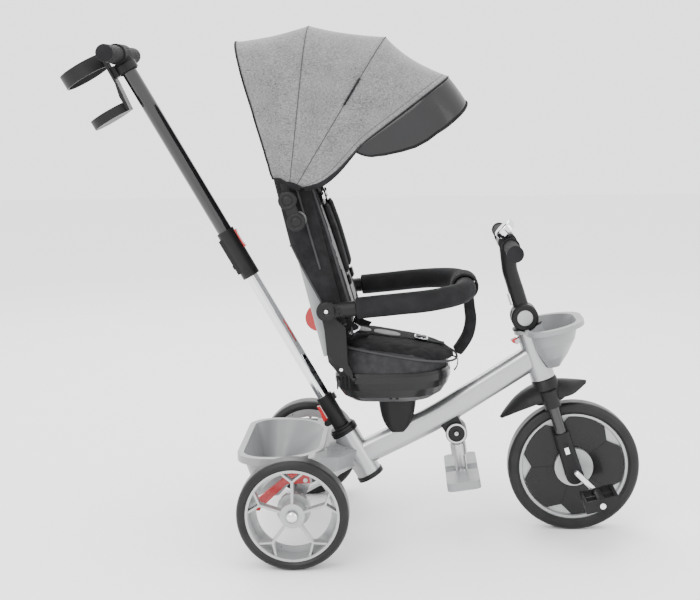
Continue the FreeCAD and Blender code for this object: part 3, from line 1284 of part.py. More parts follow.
def push_handle():
    """Hub with the lateral grip bar and its end discs."""
    hub = cyl_y(HANDLE_HUB_R, 0, HANDLE_HEIGHT, -30, 30)
    collar = cyl_z(UPPER_TUBE_R + 3.0, HANDLE_HEIGHT - HANDLE_HUB_R - 18,
                   HANDLE_HEIGHT - HANDLE_HUB_R + 6)
    bar = cyl_y(HANDLE_GRIP_R, 0, HANDLE_HEIGHT, -HANDLE_HALF, HANDLE_HALF)
    bar = bar.makeFillet(4.0, [edge for edge in bar.Edges if edge.Closed])
    shape = fused(hub, bar, collar)
    return placed(shape.cut(cyl_z(UPPER_TUBE_R, 0, HANDLE_HEIGHT - HANDLE_HUB_R)), PUSH)


def cup_holder():
    """Ring, base cup and the arm between them, clipped to the collar under the handle."""
    x = -CUP_OFFSET
    ring = ring_z(CUP_RING_R, CUP_RING_R - CUP_WALL, CUP_RING_LOW, CUP_RING_LOW + CUP_RING_H, x)
    base = cyl_z(CUP_BASE_R, CUP_BASE_LOW, CUP_BASE_LOW + CUP_BASE_H, x)
    base = base.cut(cyl_z(CUP_BASE_R - CUP_WALL, CUP_BASE_LOW + CUP_WALL,
                          CUP_BASE_LOW + CUP_BASE_H + 1, x))
    inner = x + CUP_BASE_R - CUP_WALL
    arm = plate([(inner, CUP_BASE_LOW), (inner + 5, CUP_BASE_LOW), (inner + 10, 800),
                 (x + CUP_RING_R + 3, CUP_RING_LOW + 10), (x + CUP_RING_R - 2, CUP_RING_LOW + 20),
                 (inner + 6, 800), (inner, CUP_BASE_LOW + 30)], -17, 17)
    arm = arm.cut(cyl_z(CUP_RING_R - CUP_WALL, CUP_RING_LOW, 900, x))
    arm = arm.cut(cyl_z(CUP_BASE_R - CUP_WALL, CUP_BASE_LOW + CUP_WALL, 835, x))
    clip_low = HANDLE_HEIGHT - HANDLE_HUB_R - 16
    clip = ring_z(UPPER_TUBE_R + 6.0, UPPER_TUBE_R + 3.0, clip_low, clip_low + 14)
    tab = box(x + CUP_RING_R - 3, -UPPER_TUBE_R - 4, -10, 10, clip_low, clip_low + 22)
    tab = tab.cut(cyl_z(UPPER_TUBE_R + 3.0, 0, 900))
    tab = tab.cut(cyl_z(CUP_RING_R - CUP_WALL, 0, 900, x))
    tab = tab.cut(cyl_y(HANDLE_HUB_R + 0.4, 0, HANDLE_HEIGHT, -30, 30))
    shape = fused(ring, base, arm, tab, clip)
    return placed(shape, PUSH)


# ---------------------------------------------------------------- footrest
def footrest_stem():
    """Hub on the bracket's pin, black collar, tube and the cross pins for the pads."""
    x, z = FOOT_PIVOT
    half = FOOT_HUB_HALF - GAP
    hub = cyl_y(FOOT_DISC_R - 4.0, x, z, -half, half)
    lean = FreeCAD.Placement(V(x, 0, z), FreeCAD.Rotation(V(0, 1, 0), 8.0))
    stem = cyl_z(FOOT_STEM_R, -FOOT_LEN, -10)
    stem = stem.common(box(-20, 20, -half, half, -FOOT_LEN, 0))
    collar = cyl_z(FOOT_STEM_R + 3.5, -46, -24)
    yoke = box(-FOOT_YOKE_HALF, FOOT_YOKE_HALF, -FOOT_HINGE_Y, FOOT_HINGE_Y,
               -FOOT_LEN + 5, -FOOT_LEN + 15)
    pins = []
    for side in (-1, 1):
        pin_y = side * FOOT_HINGE_Y
        pins.append(cyl(6.0, (-FOOT_YOKE_HALF, pin_y, -FOOT_LEN + 10), (1, 0, 0),
                        2 * FOOT_YOKE_HALF))
        pins.append(cyl(FOOT_PIN_R, (-20, pin_y, -FOOT_LEN + 10), (1, 0, 0), 40))
    shape = fused(collar, stem)
    lower = cyl_z(FOOT_STEM_R, -FOOT_LEN, -40)
    shape = placed(fused(shape, lower, yoke, *pins), lean_down(lean))
    return fused(hub, shape).cut(cyl_y(6.0 + RUN_FIT, x, z, -30, 30))


def lean_down(placement):
    return FreeCAD.Placement(placement.Base, FreeCAD.Rotation(V(0, 1, 0), -8.0))


def foot_pad(side):
    """One foot pad that folds up on a hinge pin beside the stem."""
    x, z = FOOT_PIVOT
    foot = lean_down(FreeCAD.Placement(V(x, 0, z), FreeCAD.Rotation()))
    hinge_y, hinge_z = side * FOOT_HINGE_Y, -FOOT_LEN + 10
    outer = side * (FOOT_STEM_R + 2.0 + FOOT_PAD_Y)
    low, high = hinge_z - FOOT_PAD_T / 2, hinge_z + FOOT_PAD_T / 2
    slab = box(-FOOT_PAD_X / 2, FOOT_PAD_X / 2, *sorted((hinge_y, outer)), low, high)
    corners = [edge for edge in slab.Edges if edge.BoundBox.ZLength > 10
               and abs(edge.BoundBox.YMin - outer) < 0.1]
    slab = slab.makeFillet(12.0, corners)
    knuckle = cyl(FOOT_PAD_T / 2, (-FOOT_PAD_X / 2, hinge_y, hinge_z), (1, 0, 0), FOOT_PAD_X)
    notch = box(-FOOT_YOKE_HALF - GAP, FOOT_YOKE_HALF + GAP,
                *sorted((0.0, hinge_y + side * 7.0)), low - 1, high + 1)
    bore = cyl(FOOT_PIN_R + RUN_FIT, (-20 - GAP, hinge_y, hinge_z), (1, 0, 0), 40 + 2 * GAP)
    return placed(slab.fuse(knuckle).removeSplitter().cut(notch).cut(bore), foot)


# ---------------------------------------------------------------- all nodes
def build():
    """Every node's shape, in the rear axle's frame."""
    shapes = {
        "main_frame": fused(main_frame(), head_lock_pin()),
        "rear_stays": Part.makeCompound([rear_stays(), rear_axle()]),
        "frame_bushes": frame_bushes(),
        "seat_pedestal": seat_pedestal(),
        "rear_basket": rear_basket(),
        "footrest_bracket": footrest_bracket(),
        "head_lock_lever": head_lock_lever(),
        "fork": fork(),
        "front_mudguard": front_mudguard(),
        "fork_leg_covers": fork_leg_covers(),
        "clutch_slider": clutch_slider(),
        "front_basket": front_basket(),
        "stem_base": stem_base(),
        "front_tyre": tyre(FRONT_WHEEL_R, RIM_R, FRONT_TYRE_W, *WHEEL_CENTRE),
        "front_wheel_disc": front_wheel_disc(),
        "front_rim": front_rim(),
        "pedal_crank": pedal_crank(),
        "pedal_right": pedal(-1),
        "pedal_left": pedal(1),
        "stem_lower": stem_lower(),
        "stem_button": stem_button(),
        "stem_upper": stem_upper(),
        "height_button": height_button(),
        "handlebar": handlebar(),
        "grips": grips(),
        "bell": bell(),
        "rear_wheel_right": rear_wheel(-1),
        "rear_wheel_left": rear_wheel(1),
        "rear_tyre_right": tyre(REAR_WHEEL_R, REAR_RIM_R, REAR_TYRE_W, 0, REAR_WHEEL_R,
                                -REAR_WHEEL_Y),
        "rear_tyre_left": tyre(REAR_WHEEL_R, REAR_RIM_R, REAR_TYRE_W, 0, REAR_WHEEL_R,
                               REAR_WHEEL_Y),
        "brake_pedal_right": brake_pedal(-1),
        "brake_pedal_left": brake_pedal(1),
        "seat_base": seat_base(),
        "seat_pad": seat_pad(),
        "armrest_posts": armrest_posts(),
        "crotch_strap": crotch_strap(),
        "back_shell": back_shell(),
        "backrest_pad": backrest_pad(),
        "recline_knob": recline_knob(),
        "harness_straps": harness_straps(),
        "safety_bar": safety_bar(),
        "bar_foam": bar_foam(),
        "bar_strap": bar_strap(),
        "canopy_links": canopy_links(),
        "canopy_base": canopy_base(),
        "canopy_panel_rear": canopy_panel_rear(),
        "canopy_panel_middle": canopy_panel_middle(),
        "canopy_panel_front": canopy_panel_front(),
        "canopy_visor": canopy_visor(),
        "push_sleeve": push_sleeve(),
        "sleeve_trigger": sleeve_trigger(),
        "push_tube_lower": push_tube_lower(),
        "push_tube_upper": push_tube_upper(),
        "push_connector": push_connector(),
        "connector_button": connector_button(),
        "push_handle": push_handle(),
        "cup_holder": cup_holder(),
        "footrest_stem": footrest_stem(),
        "foot_pad_right": foot_pad(-1),
        "foot_pad_left": foot_pad(1),
    }
    return shapes


def shift_to_origin(shapes):
    """How far forward the model moves to put the origin under its middle."""
    whole = Part.makeCompound(list(shapes.values())).BoundBox
    return -(whole.XMin + whole.XMax) / 2


def main():
    os.makedirs("parts", exist_ok=True)
    shapes = build()
    move = V(shift_to_origin(shapes), 0, 0)
    for name, shape in shapes.items():
        moved = shape.copy()
        moved.translate(move)
        moved.exportStep(os.path.join("parts", name + ".step"))
        print(name, len(moved.Solids), round(moved.Volume / 1000, 2), moved.isValid())
    print("shift", round(move.x, 3))


if __name__ == "__main__":
    main()
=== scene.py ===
import json
import math
import bpy
import bmesh
from mathutils import Matrix, Vector, noise


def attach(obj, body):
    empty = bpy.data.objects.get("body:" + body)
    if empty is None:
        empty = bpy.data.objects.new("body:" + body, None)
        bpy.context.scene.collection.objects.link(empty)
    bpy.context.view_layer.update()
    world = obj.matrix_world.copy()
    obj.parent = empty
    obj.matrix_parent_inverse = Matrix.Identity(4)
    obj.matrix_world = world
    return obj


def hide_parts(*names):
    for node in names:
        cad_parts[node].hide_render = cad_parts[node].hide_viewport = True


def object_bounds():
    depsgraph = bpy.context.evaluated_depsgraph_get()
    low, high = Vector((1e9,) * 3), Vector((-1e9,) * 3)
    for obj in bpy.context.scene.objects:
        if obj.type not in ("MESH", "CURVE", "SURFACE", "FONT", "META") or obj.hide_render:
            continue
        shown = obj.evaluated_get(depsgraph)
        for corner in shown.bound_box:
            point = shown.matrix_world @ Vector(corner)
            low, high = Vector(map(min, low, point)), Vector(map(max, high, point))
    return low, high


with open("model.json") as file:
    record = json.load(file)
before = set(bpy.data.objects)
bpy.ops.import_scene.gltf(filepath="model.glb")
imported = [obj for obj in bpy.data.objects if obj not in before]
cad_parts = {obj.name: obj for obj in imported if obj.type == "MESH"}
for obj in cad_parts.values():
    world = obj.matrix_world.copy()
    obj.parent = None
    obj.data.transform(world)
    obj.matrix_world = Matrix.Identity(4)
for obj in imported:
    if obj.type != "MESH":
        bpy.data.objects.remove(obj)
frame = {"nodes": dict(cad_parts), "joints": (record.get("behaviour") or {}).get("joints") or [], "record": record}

CAD_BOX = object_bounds()
NODES = frame["nodes"]
JOINTS = {joint["name"]: joint for joint in frame["joints"]}


# ---- materials
class Shader:
    """A Principled material with procedural colour, roughness and bump."""

    def __init__(self, name, color, rough, **sockets):
        self.material = bpy.data.materials.new(name)
        self.material.use_nodes = True
        self.tree = self.material.node_tree
        self.bsdf = self.tree.nodes["Principled BSDF"]
        self.bsdf.inputs["Base Color"].default_value = (*color, 1.0)
        self.bsdf.inputs["Roughness"].default_value = rough
        if max(color) < 0.05 and not sockets.get("Metallic"):
            self.bsdf.inputs["Specular IOR Level"].default_value = 0.2 if rough < 0.6 else 0.08
        for key, value in sockets.items():
            self.bsdf.inputs[key.replace("_", " ")].default_value = value
        self.coords = self.tree.nodes.new("ShaderNodeTexCoord").outputs["Object"]
        self.normal = None

    def link(self, a, b):
        self.tree.links.new(a, b)

    def scaled(self, scale):
        mapping = self.tree.nodes.new("ShaderNodeMapping")
        mapping.inputs["Scale"].default_value = scale
        self.link(self.coords, mapping.inputs["Vector"])
        return mapping.outputs["Vector"]

    def noise(self, scale, detail=2.0, stretch=(1, 1, 1)):
        node = self.tree.nodes.new("ShaderNodeTexNoise")
        node.inputs["Scale"].default_value = scale
        node.inputs["Detail"].default_value = detail
        self.link(self.scaled(stretch), node.inputs["Vector"])
        return node.outputs["Fac"]

    def wave(self, scale, direction):
        node = self.tree.nodes.new("ShaderNodeTexWave")
        node.bands_direction = direction
        node.inputs["Scale"].default_value = scale
        self.link(self.coords, node.inputs["Vector"])
        return node.outputs["Fac"]

    def threads(self, pitch):
        """Waves along all three axes, so that every face shows crossing threads."""
        return self.math("ADD", self.wave(pitch, "Z"),
                         self.math("ADD", self.wave(pitch, "X"), self.wave(pitch, "Y")))

    def math(self, operation, a, b):
        node = self.tree.nodes.new("ShaderNodeMath")
        node.operation = operation
        for socket, value in zip(node.inputs, (a, b)):
            if isinstance(value, (int, float)):
                socket.default_value = value
            else:
                self.link(value, socket)
        return node.outputs[0]

    def ramp(self, factor, low, high, out_low=0.0, out_high=1.0):
        node = self.tree.nodes.new("ShaderNodeMapRange")
        node.inputs["From Min"].default_value = low
        node.inputs["From Max"].default_value = high
        node.inputs["To Min"].default_value = out_low
        node.inputs["To Max"].default_value = out_high
        self.link(factor, node.inputs["Value"])
        return node.outputs["Result"]

    def tint(self, factor, dark, light):
        node = self.tree.nodes.new("ShaderNodeMix")
        node.data_type = "RGBA"
        self.link(factor, node.inputs["Factor"])
        result = next(s for s in node.outputs if s.type == "RGBA")
        inputs = [s for s in node.inputs if s.type == "RGBA"]
        inputs[0].default_value = (*dark, 1.0)
        inputs[1].default_value = (*light, 1.0)
        self.link(result, self.bsdf.inputs["Base Color"])

    def vary_roughness(self, factor, low, high):
        self.link(self.ramp(factor, 0.3, 0.7, low, high), self.bsdf.inputs["Roughness"])

    def bump(self, height, strength, distance):
        node = self.tree.nodes.new("ShaderNodeBump")
        node.inputs["Strength"].default_value = strength
        node.inputs["Distance"].default_value = distance
        self.link(height, node.inputs["Height"])
        if self.normal is not None:
            self.link(self.normal, node.inputs["Normal"])
        self.normal = node.outputs["Normal"]
        self.link(self.normal, self.bsdf.inputs["Normal"])


def around(color, spread):
    return tuple(c * (1 - spread) for c in color), tuple(min(1.0, c * (1 + spread)) for c in color)


def plastic(name, color, rough, grain=0.12, coat=0.0):
    """Moulded plastic: fine spark grain, faint flow marks in colour and gloss."""
    s = Shader(name, color, rough, Coat_Weight=coat, Coat_Roughness=0.08, IOR=1.48)
    flow = s.noise(9.0, 3.0)
    s.tint(s.ramp(flow, 0.3, 0.7), *around(color, 0.10))
    s.vary_roughness(s.noise(38.0, 2.0), rough * 0.88, min(1.0, rough * 1.14))
    s.bump(s.noise(2600.0, 1.0), grain, 0.0002)
    s.bump(s.noise(24.0, 1.0), 0.05, 0.002)
    return s.material


def metal(name, color, rough, brushed=0.0, coat=0.0, metallic=1.0):
    s = Shader(name, color, rough, Metallic=metallic, Coat_Weight=coat, Coat_Roughness=0.06)
    s.tint(s.ramp(s.noise(14.0, 3.0), 0.3, 0.7), *around(color, 0.05))
    s.vary_roughness(s.noise(60.0, 3.0), rough * 0.8, rough * 1.25)
    if brushed:
        s.bump(s.noise(900.0, 2.0, (1, 0.03, 1)), brushed, 0.0003)
    s.bump(s.noise(2400.0, 2.0), 0.03, 0.0001)
    return s.material


def flake_paint(name, color, rough):
    """Silver lacquer: metallic flakes under a clear coat."""
    s = Shader(name, color, rough, Metallic=0.82, Coat_Weight=0.55, Coat_Roughness=0.07)
    s.tint(s.ramp(s.noise(3200.0, 1.0), 0.35, 0.65), *around(color, 0.09))
    s.vary_roughness(s.noise(1400.0, 1.0), rough * 0.85, rough * 1.2)
    s.bump(s.noise(55.0, 2.0), 0.035, 0.0015)
    return s.material


def melange(name, dark, light, cell=700.0):
    """Two-tone yarn cloth: short light and dark flecks along both thread directions."""
    s = Shader(name, light, 0.92, Sheen_Weight=0.25, Sheen_Roughness=0.5)
    across = s.noise(cell, 2.0, (0.35, 0.35, 1.6))
    down = s.noise(cell, 2.0, (1.6, 1.6, 0.35))
    fleck = s.math("ADD", s.math("MULTIPLY", across, 0.6), s.math("MULTIPLY", down, 0.4))
    cloud = s.noise(26.0, 2.0)
    mixed = s.math("ADD", s.math("MULTIPLY", fleck, 0.86), s.math("MULTIPLY", cloud, 0.14))
    s.tint(s.ramp(mixed, 0.36, 0.62), dark, light)
    s.bump(s.threads(340.0), 0.22, 0.0004)
    s.bump(fleck, 0.25, 0.0006)
    return s.material


def weave(name, color, rough=0.85, pitch=420.0, spread=0.3, sheen=0.2, strength=0.35):
    """Plain woven cloth or webbing with visible threads."""
    s = Shader(name, color, rough, Sheen_Weight=sheen * 0.15, Sheen_Roughness=0.45)
    s.tint(s.ramp(s.noise(60.0, 3.0), 0.3, 0.7), *around(color, spread))
    s.bump(s.threads(pitch), strength, 0.0005)
    s.bump(s.noise(500.0, 2.0), 0.15, 0.0004)
    return s.material


def rubber(name, color, rough, grain, scale):
    s = Shader(name, color, rough, IOR=1.5)
    s.tint(s.ramp(s.noise(30.0, 3.0), 0.3, 0.7), *around(color, 0.22))
    s.vary_roughness(s.noise(45.0, 2.0), rough * 0.9, min(1.0, rough * 1.1))
    s.bump(s.noise(scale, 2.0), grain, 0.0005)
    return s.material


M = {
    "silver_paint": flake_paint("silver_lacquer", (0.37, 0.375, 0.385), 0.30),
    "black_paint": metal("black_lacquer", (0.008, 0.008, 0.009), 0.16, coat=0.9, metallic=0.0),
    "chrome": metal("chrome_plate", (0.72, 0.73, 0.75), 0.07),
    "steel": metal("brushed_steel", (0.46, 0.46, 0.47), 0.30, brushed=0.15),
    "black_plastic": plastic("black_grained", (0.009, 0.009, 0.0095), 0.42, 0.16),
    "gloss_black_plastic": plastic("black_gloss", (0.007, 0.007, 0.0075), 0.24, 0.05, coat=0.15),
    "grey_plastic": plastic("grey_satin", (0.205, 0.21, 0.215), 0.34, 0.08, coat=0.05),
    "silver_plastic": metal("silver_moulded", (0.36, 0.365, 0.37), 0.34, metallic=0.55),
    "red_plastic": plastic("red_gloss", (0.40, 0.006, 0.009), 0.26, 0.05, coat=0.2),
    "tyre": rubber("tyre_foam_rubber", (0.012, 0.012, 0.012), 0.38, 0.10, 1500.0),
    "foam": rubber("sponge_foam", (0.013, 0.013, 0.014), 0.72, 0.45, 1100.0),
    "grey_fabric": melange("grey_melange", (0.05, 0.05, 0.052), (0.20, 0.20, 0.205)),
    "black_fabric": weave("black_weave", (0.013, 0.013, 0.014)),
}


def paint(obj, material):
    obj.data.materials.clear()
    obj.data.materials.append(material)


SLOT_OF = {part["node"]: part["material_slot"] for part in frame["record"]["subparts"]}
for node, obj in NODES.items():
    if len(obj.data.materials) == 0:
        obj.data.materials.append(M[SLOT_OF[node]])
    for i in range(len(obj.data.materials)):
        obj.data.materials[i] = M[SLOT_OF[node]]


# ---- shaping helpers
SHIFT = -0.105526                  # from the rear axle's frame to the row frame


def at(x, y, z):
    """A point given in millimetres from the rear axle, on the floor."""
    return Vector((x / 1000 + SHIFT, y / 1000, z / 1000))


def lerp(a, b, t):
    return a + (b - a) * t


def table(rows, x):
    """Smooth reading of a table of (x, value) rows, in order of rising x."""
    if x <= rows[0][0]:
        return rows[0][1]
    for (x0, v0), (x1, v1) in zip(rows, rows[1:]):
        if x <= x1:
            return lerp(v0, v1, (x - x0) / (x1 - x0))
    return rows[-1][1]


def angles(count):
    """Equal steps once round a circle."""
    return [2 * math.pi * k / count for k in range(count)]


def linked(name, data):
    obj = bpy.data.objects.new(name, data)
    bpy.context.scene.collection.objects.link(obj)
    return obj


def smooth(mesh):
    for polygon in mesh.polygons:
        polygon.use_smooth = True


def piece(name, verts, faces, material):
    mesh = bpy.data.meshes.new(name)
    mesh.from_pydata([tuple(v) for v in verts], [], faces)
    mesh.update()
    obj = linked(name, mesh)
    for m in (material if isinstance(material, (list, tuple)) else [material]):
        mesh.materials.append(m)
    smooth(mesh)
    return obj


def dress(obj, body, nodes=()):
    """Says what a piece rides on and what it replaces."""
    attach(obj, body)
    if nodes:
        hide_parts(*nodes)
    return obj


def grid(name, rows, material, ring=False):
    """A sheet through rows of points; ring closes each row."""
    count = len(rows[0])
    faces = []
    for i in range(len(rows) - 1):
        for j in range(count if ring else count - 1):
            k = (j + 1) % count
            a, b = i * count, (i + 1) * count
            faces.append((a + j, a + k, b + k, b + j))
    return piece(name, [p for row in rows for p in row], faces, material)


def thicken(obj, thickness, inner_slot=0, offset=-1.0):
    mod = obj.modifiers.new("thickness", "SOLIDIFY")
    mod.thickness = thickness
    mod.offset = offset
    mod.material_offset = inner_slot
    mod.material_offset_rim = inner_slot
    apply_modifiers(obj)


def apply_modifiers(obj):
    graph = bpy.context.evaluated_depsgraph_get()
    graph.update()
    mesh = bpy.data.meshes.new_from_object(obj.evaluated_get(graph))
    old = obj.data
    obj.modifiers.clear()
    obj.data = mesh
    bpy.data.meshes.remove(old)


def loft_faces(rings, sides, closed=False):
    """Faces between rings of points; both ends are capped unless the last meets the first."""
    faces = []
    for i in range(rings if closed else rings - 1):
        a, b = i * sides, ((i + 1) % rings) * sides
        for j in range(sides):
            k = (j + 1) % sides
            faces.append((a + j, a + k, b + k, b + j))
    if not closed:
        faces.append(tuple(range(sides))[::-1])
        faces.append(tuple((rings - 1) * sides + j for j in range(sides)))
    return faces


def tube(name, points, radius, material, sides=10, closed=False):
    """A tube of round section along points."""
    points = [Vector(p) for p in points]
    count = len(points)
    rows = []
    up = Vector((0, 0, 1))
    for i, p in enumerate(points):
        ahead = points[(i + 1) % count] if closed or i < count - 1 else p
        behind = points[i - 1] if closed or i > 0 else p
        t = (ahead - behind).normalized()
        side = t.cross(up)
        if side.length < 0.05:
            side = t.cross(Vector((0, 1, 0)))
        side.normalize()
        over = side.cross(t).normalized()
        rows.append([p + side * (math.cos(a) * radius) + over * (math.sin(a) * radius)
                     for a in angles(sides)])
    return piece(name, [v for row in rows for v in row], loft_faces(count, sides, closed),
                 material)


def spun(name, profile, centre, axis, material, steps=40):
    """A turned shape: profile is a list of (radius, height along axis) in millimetres."""
    axis = Vector(axis).normalized()
    side = axis.cross(Vector((0.3, 0.1, 0.95))).normalized()
    over = axis.cross(side)
    rows = []
    for radius, height in profile:
        rows.append([centre + axis * (height / 1000)
                     + (side * math.cos(a) + over * math.sin(a)) * (radius / 1000)
                     for a in angles(steps)])
    obj = grid(name, rows, material, ring=True)
    if profile[0][0] > 0.01 or profile[-1][0] > 0.01:
        mesh = obj.data
        bm = bmesh.new()
        bm.from_mesh(mesh)
        n = len(profile)
        bm.verts.ensure_lookup_table()
        if profile[0][0] > 0.01:
            bm.faces.new([bm.verts[j] for j in range(steps)][::-1])
        if profile[-1][0] > 0.01:
            bm.faces.new([bm.verts[(n - 1) * steps + j] for j in range(steps)])
        bm.to_mesh(mesh)
        bm.free()
    return obj


def outward(obj):
    """Turns every face of a closed piece outwards."""
    bm = bmesh.new()
    bm.from_mesh(obj.data)
    bmesh.ops.recalc_face_normals(bm, faces=bm.faces)
    bm.to_mesh(obj.data)
    bm.free()


def block(name, size, matrix, material, bevel=0.0006):
    bm = bmesh.new()
    bmesh.ops.create_cube(bm, size=1.0)
    bmesh.ops.scale(bm, vec=Vector(size), verts=bm.verts)
    if bevel:
        bmesh.ops.bevel(bm, geom=bm.edges[:], offset=bevel, segments=3, affect="EDGES")
    bmesh.ops.transform(bm, matrix=matrix, verts=bm.verts)
    mesh = bpy.data.meshes.new(name)
    bm.to_mesh(mesh)
    bm.free()
    mesh.materials.append(material)
    smooth(mesh)
    return linked(name, mesh)


def joined(name, objects):
    """Several pieces that are always together, as one piece."""
    bm = bmesh.new()
    materials = []
    for obj in objects:
        slots = []
        for m in obj.data.materials:
            if m not in materials:
                materials.append(m)
            slots.append(materials.index(m))
        start = len(bm.faces)
        bm.from_mesh(obj.data)
        bm.faces.ensure_lookup_table()
        for face in bm.faces[start:]:
            face.material_index = slots[face.material_index] if slots else 0
    mesh = bpy.data.meshes.new(name)
    bm.to_mesh(mesh)
    bm.free()
    for m in materials:
        mesh.materials.append(m)
    result = linked(name, mesh)
    for obj in objects:
        bpy.data.objects.remove(obj)
    return result


def cap_ends(obj, rings, sides):
    """Closes the first and last ring of a grid and turns its faces outwards."""
    bm = bmesh.new()
    bm.from_mesh(obj.data)
    bm.verts.ensure_lookup_table()
    bm.faces.new([bm.verts[j] for j in range(sides)])
    bm.faces.new([bm.verts[(rings - 1) * sides + j] for j in range(sides)][::-1])
    bmesh.ops.recalc_face_normals(bm, faces=bm.faces)
    bm.to_mesh(obj.data)
    bm.free()


PAD_VOXEL = 0.005
CLOTH_FRAMES = 20


def swollen(obj, cap, pressure):
    """Remeshes a pad and blows it up as cloth, by no more than cap, then smooths it once."""
    mod = obj.modifiers.new("remesh", "REMESH")
    mod.mode = "VOXEL"
    mod.voxel_size = PAD_VOXEL
    apply_modifiers(obj)
    start = [v.co.copy() for v in obj.data.vertices]
    cloth = obj.modifiers.new("cloth", "CLOTH")
    cloth.settings.use_pressure = True
    cloth.settings.uniform_pressure_force = pressure
    cloth.settings.effector_weights.gravity = 0.0
    cloth.settings.quality = 5
    cloth.point_cache.frame_start = 1
    cloth.point_cache.frame_end = CLOTH_FRAMES
    for frame_no in range(1, CLOTH_FRAMES + 1):
        bpy.context.scene.frame_set(frame_no)
    apply_modifiers(obj)
    bpy.context.scene.frame_set(1)
    for v, p in zip(obj.data.vertices, start):
        move = v.co - p
        if move.length > cap:
            v.co = p + move * (cap / move.length)
    mod = obj.modifiers.new("smooth", "SUBSURF")
    mod.levels = 1
    mod.render_levels = 1
    apply_modifiers(obj)
    smooth(obj.data)
    return obj


# ---- canopy
PIN = Vector(JOINTS["canopy_tilt"]["pos_m"])
# Angles about the pin, in degrees above forwards, and radii in millimetres.
PEAK_EDGE, FRONT_BOW, MIDDLE_BOW, REAR_BOW, BASE_BOW = 27.9, 36.7, 58.4, 83.1, 108.8
FRONT_BOW_R = 361.0
BOWS = ((PEAK_EDGE, 364.4), (FRONT_BOW, FRONT_BOW_R), (MIDDLE_BOW, 337.0), (REAR_BOW, 311.0),
        (BASE_BOW, 298.0))
REAR_EDGE = ((47, 125.8), (71, 118.8), (96, 115.3), (121, 113.3), (172, 111.0), (250, 109.4),
             (298, 108.8))
FRONT_EDGE = ((32, 43.5), (45, 33.0), (66, 27.4), (100, 30.0), (134, 33.7), (160, 36.0),
              (175, 36.7))
HEM_R = ((27, 36), (43.5, 32), (60, 30), (95, 30), (108, 38), (125.8, 45))
VISOR_EDGE = ((150, 34.0), (157, 30.0), (168, 27.0), (191, 24.4), (220, 22.7), (245, 22.0),
              (270, 22.5), (300, 24.0), (330, 26.2), (352, 27.9))
CORNER = 75.0
CLOTH_THICK = 0.0016
RIPPLE = 0.35
TYPICAL_R = 300.0                  # where the search for an edge's angle starts


def half_width(angle):
    return 150.5 + (BASE_BOW - angle) * 0.1224


def bow_radius(angle):
    """Radius of the canopy's top at an angle, straight between two bows, and its sag."""
    for (a0, r0), (a1, r1) in zip(BOWS, BOWS[1:]):
        if angle <= a1 or a1 == BOWS[-1][0]:
            t = (angle - a0) / (a1 - a0)
            s0, s1 = math.radians(a1 - angle), math.radians(angle - a0)
            chord = r0 * r1 * math.sin(s0 + s1) / (r0 * math.sin(s1) + r1 * math.sin(s0))
            dip = 0.0 if a0 < 30 else 9.0 if a0 < 40 else 4.0
            drop = dip * math.sin(math.pi * min(1, max(0, t))) ** 0.8
            return chord, drop
    return BOWS[-1][1], 0.0


def section_path(steps_side, steps_corner, steps_top):
    """Places along a bow: (kind, share, side) from one hem over the top to the other."""
    side = [("side", i / steps_side) for i in range(steps_side)]
    corner = [("corner", i / steps_corner) for i in range(steps_corner)]
    first = [(kind, share, -1) for kind, share in side + corner]
    middle = [("top", i / (2 * steps_top), 0) for i in range(2 * steps_top + 1)]
    last = [(kind, share, 1) for kind, share in (side + corner)[::-1]]
    return first + middle + last


def canopy_point(angle, kind, share, side):
    """Distance from the pin and place across of a point of the cloth at an angle."""
    radius, drop = bow_radius(angle)
    width = half_width(angle)
    if kind == "side":
        r, y = lerp(table(HEM_R, angle), radius - CORNER, share), side * width
        weight = 0.0
    elif kind == "corner":
        a = share * math.pi / 2
        r = radius - CORNER + CORNER * math.sin(a)
        y = side * (width - CORNER + CORNER * math.cos(a))
        weight = math.sin(a) ** 2
    else:
        r, y = radius, lerp(-1, 1, share) * (width - CORNER)
        weight = 1.0
    return r - drop * weight, y


def polar(r, y, angle):
    turn = math.radians(angle)
    return PIN + Vector((r * math.cos(turn), y, r * math.sin(turn))) / 1000


def settle(angle_of, place):
    """Angle, radius and place across where an edge given by radius meets the cloth."""
    angle = angle_of(TYPICAL_R)
    for _ in range(4):
        angle = angle_of(canopy_point(angle, *place)[0])
    return angle, *canopy_point(angle, *place)


def canopy_sheet(name, rear, front, material, steps):
    """A curved sheet between two edges, each a function of the distance from the pin."""
    rows = []
    for kind, share, side in PATH:
        row = []
        for i in range(steps + 1):
            t = i / steps
            angle, r, y = settle(lambda r: lerp(rear(r), front(r), t), (kind, share, side))
            p = polar(r, y, angle)
            if 0 < i < steps:
                lump = noise.noise(p * 26.0) * 0.5 + noise.noise(p * 60.0) * 0.25
                fade = min(1.0, 4 * t, 4 * (1 - t))
                out = Vector((p.x - PIN.x, 0, p.z - PIN.z)).normalized()
                if kind == "side":
                    out = Vector((0, side, 0))
                p = p + out * (lump * RIPPLE * fade / 1000 * (1.0 if kind == "side" else 2.2))
            row.append(p)
        rows.append(row)
    return grid(name, rows, material)


def table_of(rows):
    return lambda r: table(rows, r)


def constant(angle):
    return lambda r: angle


FINE = 2
PATH = section_path(10 * FINE, 7 * FINE, 7 * FINE)


def canopy_panel(name, node, body, rear, front, steps):
    obj = canopy_sheet(name, rear, front, [M["grey_fabric"], M["black_fabric"]], steps)
    outward_side(obj)
    thicken(obj, CLOTH_THICK, inner_slot=1)
    dress(obj, body, [node])
    # The panel narrows towards its pins: the cut's length is its mean one times a guess.
    return obj


def outward_side(obj):
    """Turns a canopy sheet's faces away from the pin's axis."""
    total = 0.0
    for polygon in obj.data.polygons:
        away = polygon.center - PIN
        total += polygon.normal.dot(away) * polygon.area
    if total < 0:
        obj.data.flip_normals()


